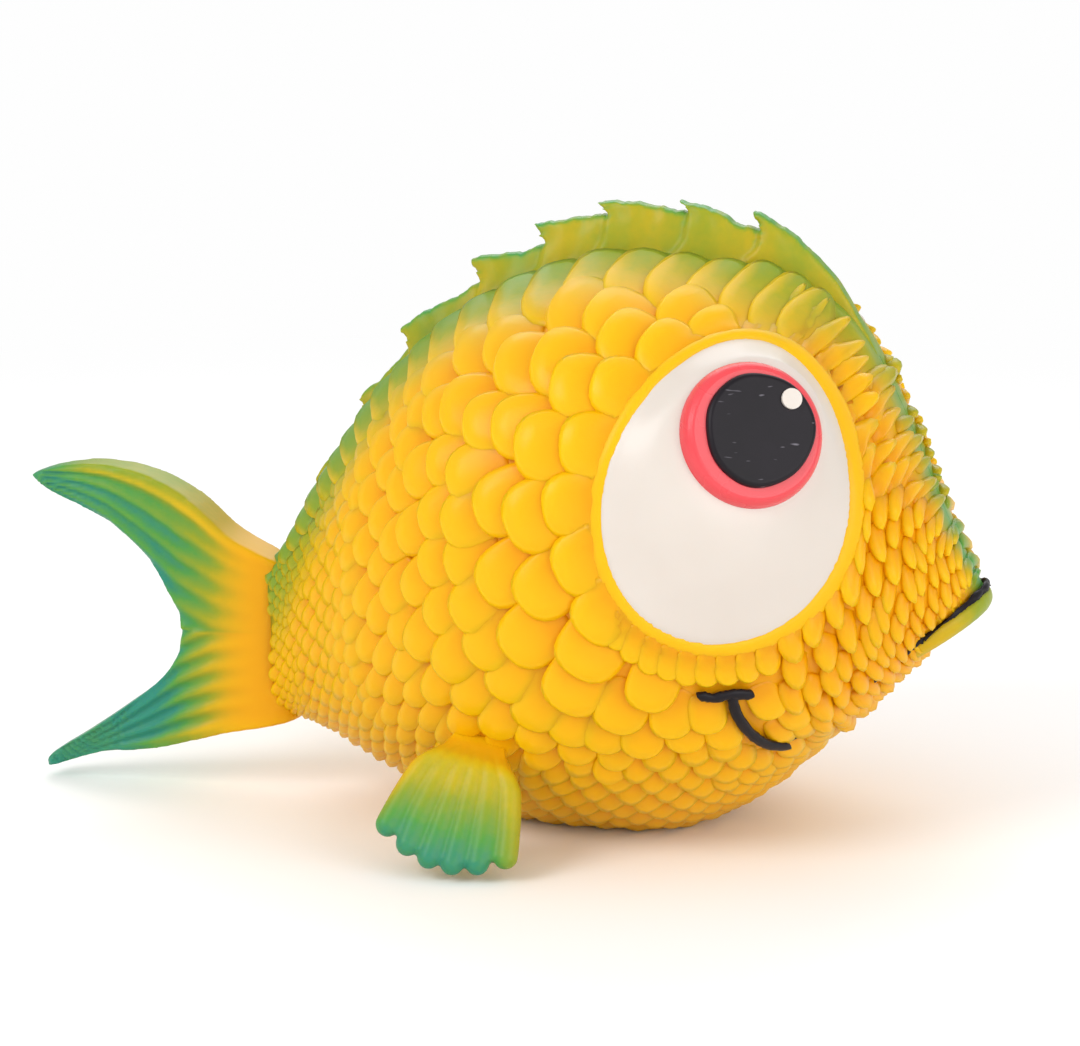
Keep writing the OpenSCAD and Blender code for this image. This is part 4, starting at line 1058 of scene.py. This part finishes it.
def makeFin(side):
    piece = organicCopy(side + "_fin_skin", side + "_breast_fin", finForm["voxel"], finForm["soften"])
    sign = 1 if side == "right" else -1
    points = getPoints(piece.data) * [1, sign, 1]
    away = points - finForm["place"]
    pitch, splay = radians(finForm["pitch"]), radians(finForm["splay"])
    # the fin's own axes: down along it, across it along the hinge, and out of its flat
    hinge = np.array([cos(pitch), 0, -sin(pitch)])
    down = np.array([-sin(pitch) * cos(splay), -sin(splay), -cos(pitch) * cos(splay)])
    face = np.cross(hinge, down)
    along, across, out = away @ down, away @ hinge, away @ face
    if np.mean(face * [0, -1, 0]) < 0:
        face, out = -face, -out
    root = ease(along, 6.0, -1.0)
    out = out * (1 - finForm["thinRoot"] * root) - finForm["sink"] * ease(along, 4.5, -1.5)
    across = across * (1 - finForm["narrowRoot"] * root)
    # the flutes' outline swells a little towards the free edge
    swell = np.sin(np.clip(along / 17, 0, 1) * math.pi) * np.sign(across) * ease(np.abs(across), 2, 6)
    across = across + finForm["swell"] * swell
    points = finForm["place"] + along[:, None] * down + across[:, None] * hinge + out[:, None] * face
    setPoints(piece.data, points * [1, sign, 1])
    fan = across / (6 + 0.28 * np.maximum(along, 0))
    paint = 0.14 + 0.2 * ease(along, -1, 6)
    paint = paint + ease(along, 5.5, 18) * finForm["green"] * (1 - 0.75 * ease(fan, 0.55, 1.0))
    paint = paint * (1 - 0.5 * ease(-fan, 0.75, 1.1) * ease(along, 17, 12))
    # painted light: the fin gets painted shade where its surface lies near its middle plane and is painted
    # lighter where it stands out from it
    relief = 0.25 + 0.5 * ease(np.abs(out), 0.4, 1.3)
    setMarks(piece.data, airbrush=np.clip(paint, 0, 1), relief=relief)
    return piece


for side in ("right", "left"):
    fin = makeFin(side)
    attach(fin, side + "_fin")
    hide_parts(side + "_breast_fin")
print("breast fins made")


crestForm = {
    "voxel": 0.42, "soften": 4, "ragged": 0.3, "wave": 0.22, "hook": 1.5,
    # what is filled up between the teeth and at the front, and how the strip runs out, mm
    "fill": 1.5, "front": 1.6, "sink": 2.4, "back": 0.8, "narrow": 0.6,
    "green": 0.36, "greenRim": 0.30, "missed": 0.16,
}


def makeCrest():
    piece = organicCopy("crest_skin", "dorsal_crest", crestForm["voxel"], crestForm["soften"])
    x, y, z = getPoints(piece.data).T
    upward = readVertices(piece.data, "normal")[:, 2]
    up = z - formAt(x)[:, 1] * bodyForm["height"]
    # a torn, slightly wavy edge
    wave = np.sin(x * 2.1) * 0.5 + np.sin(x * 4.7 + 1.3) * 0.3 + np.sin(x * 9.1 + 0.4) * 0.2
    edge = ease(up, 2.0, 5.0)
    z = z + edge * wave * crestForm["ragged"] * 0.6
    fill = ease(up, 1.0, 3.5) * ease(up, 8.5, 5.0)
    z = z + fill * crestForm["fill"] * ease(x, 2, 12) * ease(x, 36, 28)
    z = z + crestForm["front"] * ease(up, 0.0, 1.0) * ease(x, 31, 37) * ease(x, 54, 46)
    y = y + edge * np.sin(x * 1.3 + 0.7) * crestForm["wave"]
    # the teeth's tips hook backwards over their notches
    places = np.arange(-34, 66, 1.0)
    tips = np.array([np.max(up[np.abs(x - at) < 5.0], initial=0.0) for at in places])
    x = x + crestForm["hook"] * ease(np.interp(x, places, tips) - up, 0.0, 3.2) * ease(up, 0.5, 2.5)
    # its strip runs out into the forehead
    foot = ease(x, 51, 57)
    z = z - crestForm["sink"] * foot
    x = x - crestForm["back"] * foot
    y = y * (1 - crestForm["narrow"] * foot)
    setPoints(piece.data, np.stack([x, y, z], axis=1))
    # the sprayed edge is green, with yellow where the spray missed it
    missed = np.clip(np.sin(x * 0.83 + 1) * np.sin(x * 2.3) + 0.2, 0, 1)
    rim = crestForm["greenRim"] - crestForm["missed"] * missed
    paint = crestForm["green"] + 0.04 * np.sin(x * 0.5) + rim * ease(upward, 0.25, 0.75)
    paint = paint + 0.10 * ease(up, 4.5, 8)
    setMarks(piece.data, airbrush=np.clip(paint, 0, 1), relief=0.5)
    return piece


crestPiece = makeCrest()
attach(crestPiece, "casting")
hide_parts("dorsal_crest")
print("crest made:", len(crestPiece.data.vertices), "points")


eyeYaw, eyeTilt = radians(eyeForm["yaw"]), radians(eyeForm["tilt"])


def makeEyeWhite():
    # an egg-shaped blister of enamel that swells to the foot of the iris
    shape = bmesh.new()
    bmesh.ops.create_uvsphere(shape, u_segments=96, v_segments=32, radius=1.0)
    co = np.array([v.co for v in shape.verts])
    share = np.clip(np.hypot(co[:, 0], co[:, 1]), 0, 1)
    turn = np.arctan2(co[:, 1], co[:, 0])
    outer = co[:, 2] >= -1e-6
    share = np.where(outer, share, share * 0.985)
    ex, ez = eyeEdge(turn)
    # inside this share of the white lies the flat under the iris
    flat = 0.45
    irisX, irisZ = eyeForm["irisX"], eyeForm["irisZ"]
    radius = eyeForm["irisWidth"] / 2 + eyeForm["margin"]
    fx = irisX + radius * cos(eyeYaw) * np.cos(turn)
    fz = irisZ + radius * cos(eyeTilt) * np.sin(turn)
    ring, inner = np.clip((share - flat) / (1 - flat), 0, 1), np.clip(share / flat, 0, 1)
    x = np.where(share > flat, fx + (ex - fx) * ring, irisX + (fx - irisX) * inner)
    z = np.where(share > flat, fz + (ez - fz) * ring, irisZ + (fz - irisZ) * inner)
    irisY = -flankY(irisX, irisZ) - eyeForm["thickness"]

    def flatY(px, pz):
        return irisY + ((px - irisX) * sin(eyeYaw) * cos(eyeTilt)
                        + (pz - irisZ) * sin(eyeTilt)) / (cos(eyeYaw) * cos(eyeTilt))

    under = flankY(x, z)
    atFlat = -flatY(fx, fz) - flankY(fx, fz)
    fall = 1 - ring
    stand = eyeForm["rim"] + (atFlat - eyeForm["rim"]) * fall * fall * (3 - 2 * fall)
    y = np.where(share > flat, -under - stand, flatY(x, z))
    # the rim turns over softly
    lip = ease(ring, 0.955, 1.0)
    y = np.where(outer, y + lip * 0.35, -under + 0.5)
    for vertex, point in zip(shape.verts, np.stack([x, y, z], axis=1)):
        vertex.co = Vector(point) * mm
    faceOutward(shape)
    return newObject("eye_white_right", meshFrom(shape, "eye_white_right"), whiteEnamel)


eyeRight = makeEyeWhite()
eyeLeft = mirrored(eyeRight, "eye_white_left")
for piece, side in ((eyeRight, "right"), (eyeLeft, "left")):
    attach(piece, side + "_side")
    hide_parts(side + "_eye_white")


lineLooks = {
    # brushed lines: width, its share at both ends, how uneven it is, thickness and stand off the skin, mm.
    # the smile stands on the scales, and the jaw's line on the skin between them
    "smile_bar_right": {"path": "bar", "step": 3, "width": 1.45, "start": 0.15, "end": 0.45,
                        "ragged": 0.18, "seed": 3, "thickness": 0.5, "stand": 0.95},
    "smile_stroke_right": {"path": "smile", "step": 3, "width": 1.5, "start": 0.7, "end": 0.4,
                           "ragged": 0.08, "seed": 4, "thickness": 0.5, "stand": 0.95},
    "jaw_line_right": {"path": "jaw", "step": 4, "width": 1.0, "start": 0.8, "end": 0.6,
                       "ragged": 0.1, "seed": 5, "thickness": 0.3, "stand": 0.15},
}


def makeLine(name, look):
    # a flat rounded tube along a stroke, which tapers over an eighth of its way at each end
    places, roll, widths = strokes[look["path"]], random.Random(look["seed"]), []
    for s in np.arange(len(places)) / (len(places) - 1):
        taper = min(1, look["start"] + s * 8, look["end"] + (1 - s) * 8)
        widths.append(look["width"] * taper * (1 + roll.uniform(-look["ragged"], look["ragged"])))
    places, widths = places[::look["step"]], widths[::look["step"]]
    shape = bmesh.new()
    loops, count = [], len(places)
    for k in range(count):
        x, t = places[k]
        point, normal = skinPoint(x, t, depthAt(x, t) + look["stand"])
        ahead, behind = (skinPoint(*places[j])[0] for j in (min(k + 1, count - 1), max(k - 1, 0)))
        up = Vector(normal)
        side = Vector(ahead - behind).normalized().cross(up).normalized()
        circle = bmesh.ops.create_circle(shape, cap_ends=k in (0, count - 1), segments=10, radius=1.0)
        for vertex in circle["verts"]:
            a, b = vertex.co.x, vertex.co.y
            vertex.co = (Vector(point) + side * a * widths[k] / 2 + up * b * look["thickness"]) * mm
        loops.append(circle["verts"])
    for first, second in zip(loops, loops[1:]):
        edges = [e for e in shape.edges if any(all(v in loop for v in e.verts) for loop in (first, second))]
        bmesh.ops.bridge_loops(shape, edges=edges)
    faceOutward(shape)
    return newObject(name, meshFrom(shape, name), blackEnamel)


for piece in [makeLine(name, look) for name, look in lineLooks.items()]:
    other = mirrored(piece, piece.name.replace("right", "left"))
    for made, side in ((piece, "right"), (other, "left")):
        followSide(made)
        if "stroke" in made.name:
            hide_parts(side + "_smile")


eyeParts = {
    # the brushed parts of the eye lie lower than they were cast: how far to slide forwards, mm
    "sink": 1.1, "slide": {"iris": 0.3, "pupil": 0.3, "catchlight": 1.4},
    "material": {"iris": pinkEnamel, "pupil": pupilEnamel, "catchlight": whiteEnamel},
    "slot": {"iris": "pink_enamel", "pupil": "black_enamel", "catchlight": "white_enamel"},
}


def makeEyePart(side, part):
    mesh = nodes[side + "_" + part].data.copy()
    mesh.name = side + "_" + part + "_paint"
    piece = linkObject(mesh.name, mesh)
    sign = 1 if side == "right" else -1
    points = getPoints(mesh) * [1, sign, 1]
    axis = np.array([sin(eyeYaw) * cos(eyeTilt), -cos(eyeYaw) * cos(eyeTilt),
                     sin(eyeTilt)])
    right = np.array([cos(eyeYaw), sin(eyeYaw), 0])
    up = np.cross(right, axis)
    up = up if up[2] > 0 else -up
    middle = (points.min(axis=0) + points.max(axis=0)) / 2
    away = points - middle
    height, a, b = away @ axis, away @ right, away @ up
    if part == "pupil":
        # brushed on by hand, so its edge isn't a true circle
        turn = np.arctan2(b, a)
        swell = 1 + 0.020 * np.cos(3 * turn - 0.4) + 0.014 * np.cos(2 * turn - 1.9) + 0.006 * np.cos(7 * turn)
        a, b = a * swell, b * swell
    height, a = height - eyeParts["sink"], a + eyeParts["slide"][part]
    points = middle + height[:, None] * axis + a[:, None] * right + b[:, None] * up
    setPoints(mesh, points * [1, sign, 1])
    setMaterial(mesh, eyeParts["material"][part])
    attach(piece, side + "_side")
    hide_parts(side + "_" + part)


for side in ("right", "left"):
    for part in ("iris", "pupil", "catchlight"):
        makeEyePart(side, part)


lipPiece = organicCopy("lower_lip_skin", "lower_lip", 0.3, 4)
fromMiddle = np.abs(getPoints(lipPiece.data)[:, 1])
setMarks(lipPiece.data, airbrush=0.46 - 0.2 * ease(fromMiddle, 4, 10), relief=0.6)
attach(lipPiece, "casting")
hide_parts("lower_lip")
linePiece = organicCopy("mouth_paint", "mouth_line", 0.2, 3)
linePoints = getPoints(linePiece.data)
# the brush pressed unevenly: the line swells and thins along its way
thinner = 0.30 + 0.10 * np.sin(linePoints[:, 1] * 1.7) + 0.12 * ease(np.abs(linePoints[:, 1]), 2, 8)
linePoints -= readVertices(linePiece.data, "normal") * thinner[:, None]
setPoints(linePiece.data, linePoints)
setMaterial(linePiece.data, blackEnamel)
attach(linePiece, "casting")
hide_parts("mouth_line")
for name, material in (("squeaker_barrel", squeakerPlastic), ("squeaker_cap", squeakerPlastic),
                       ("reed_tube", squeakerPlastic), ("reed_clip", reedBrass),
                       ("squeaker_reed", reedBrass)):
    setMaterial(nodes[name].data, material)
print("eyes and mouth made")


stageSettings = {"floor": 3.0, "aim": (0.00562, 0.0005, 0.040), "distance": 0.560, "yaw": 12, "elevation": 12,
                 "lens": 134.4, "paper": (0.05, 0.40), "bounce": "#f2f0ee", "floorColour": "#ffffff",
                 "world": (0.74, 0.55, 1.0)}


def makeStage():
    # a white sweep: paper near the toy, and plain white where only the camera sees it far away
    material, tree = newMaterial("white paper sweep")
    rays = addNode(tree, "LightPath")
    place = addNode(tree, "TexCoord").outputs["Object"]
    away = addNode(tree, "VectorMath", {"operation": "LENGTH"}, in0=place)
    far = addNode(tree, "MapRange", {"interpolation_type": "SMOOTHSTEP"}, Value=away.outputs["Value"],
                  From_Min=stageSettings["paper"][0], From_Max=stageSettings["paper"][1])
    toCamera = rays.outputs["Is Camera Ray"]
    bounce, white = (linearColour(stageSettings[name]) for name in ("bounce", "floorColour"))
    colour = addNode(tree, "Mix", {"data_type": "RGBA"}, in0=toCamera, in6=bounce, in7=white)
    matte = addNode(tree, "BsdfDiffuse", Color=colour.outputs[2])
    glow = addNode(tree, "Emission", Color=linearColour("#fefefe"), Strength=1.0)
    mixed = addNode(tree, "MixShader", in0=calculate(tree, "MULTIPLY", far, toCamera), in1=matte, in2=glow)
    addNode(tree, "OutputMaterial", Surface=mixed)
    shape = bmesh.new()
    bmesh.ops.create_grid(shape, x_segments=2, y_segments=2, size=stageSettings["floor"])
    floor = newObject("floor", meshFrom(shape, "floor"), material)


makeStage()

world = bpy.data.worlds.new("studio")
bpy.context.scene.world = world
world.use_nodes = True
worldTree = world.node_tree
worldTree.nodes.clear()
rays = addNode(worldTree, "LightPath")
# what lights the toy, what it mirrors, and what the camera sees
dim, mirror, white = (addNode(worldTree, "Background", Color=linearColour("#ffffff"), Strength=strength)
                      for strength in stageSettings["world"])
shiny = addNode(worldTree, "MixShader", in0=rays.outputs["Is Glossy Ray"], in1=dim, in2=mirror)
choice = addNode(worldTree, "MixShader", in0=rays.outputs["Is Camera Ray"], in1=shiny, in2=white)
addNode(worldTree, "OutputWorld", Surface=choice)


def addLamp(name, place, size, power):
    data = bpy.data.lights.new(name, "AREA")
    data.shape = "DISK"
    data.size = size
    data.energy = power
    lamp = linkObject(name, data)
    lamp.location = place
    lamp.rotation_mode = "QUATERNION"
    lamp.rotation_quaternion = (Vector((0, 0, 0.04)) - Vector(place)).to_track_quat("-Z", "Y")


addLamp("key softbox", (-0.55, -0.7, 0.66), 0.6, 4.3)
addLamp("fill softbox", (0.8, -0.62, 0.24), 0.9, 4.6)
addLamp("back softbox", (-0.1, 0.8, 0.7), 0.9, 3.4)

cameraData = bpy.data.cameras.new("view")
cameraData.sensor_width = 36
cameraData.lens = stageSettings["lens"]
cameraObject = linkObject("view", cameraData)
yaw, elevation = radians(stageSettings["yaw"]), radians(stageSettings["elevation"])
backwards = Vector((sin(yaw) * cos(elevation), -cos(yaw) * cos(elevation),
                    sin(elevation)))
cameraObject.location = Vector(stageSettings["aim"]) + backwards * stageSettings["distance"]
cameraObject.rotation_mode = "QUATERNION"
cameraObject.rotation_quaternion = (-backwards).to_track_quat("-Z", "Y")
cameraData.clip_start, cameraData.clip_end = 0.01, 20
bpy.context.scene.camera = cameraObject
bpy.context.scene.view_settings.view_transform = "Standard"

print("stage set")
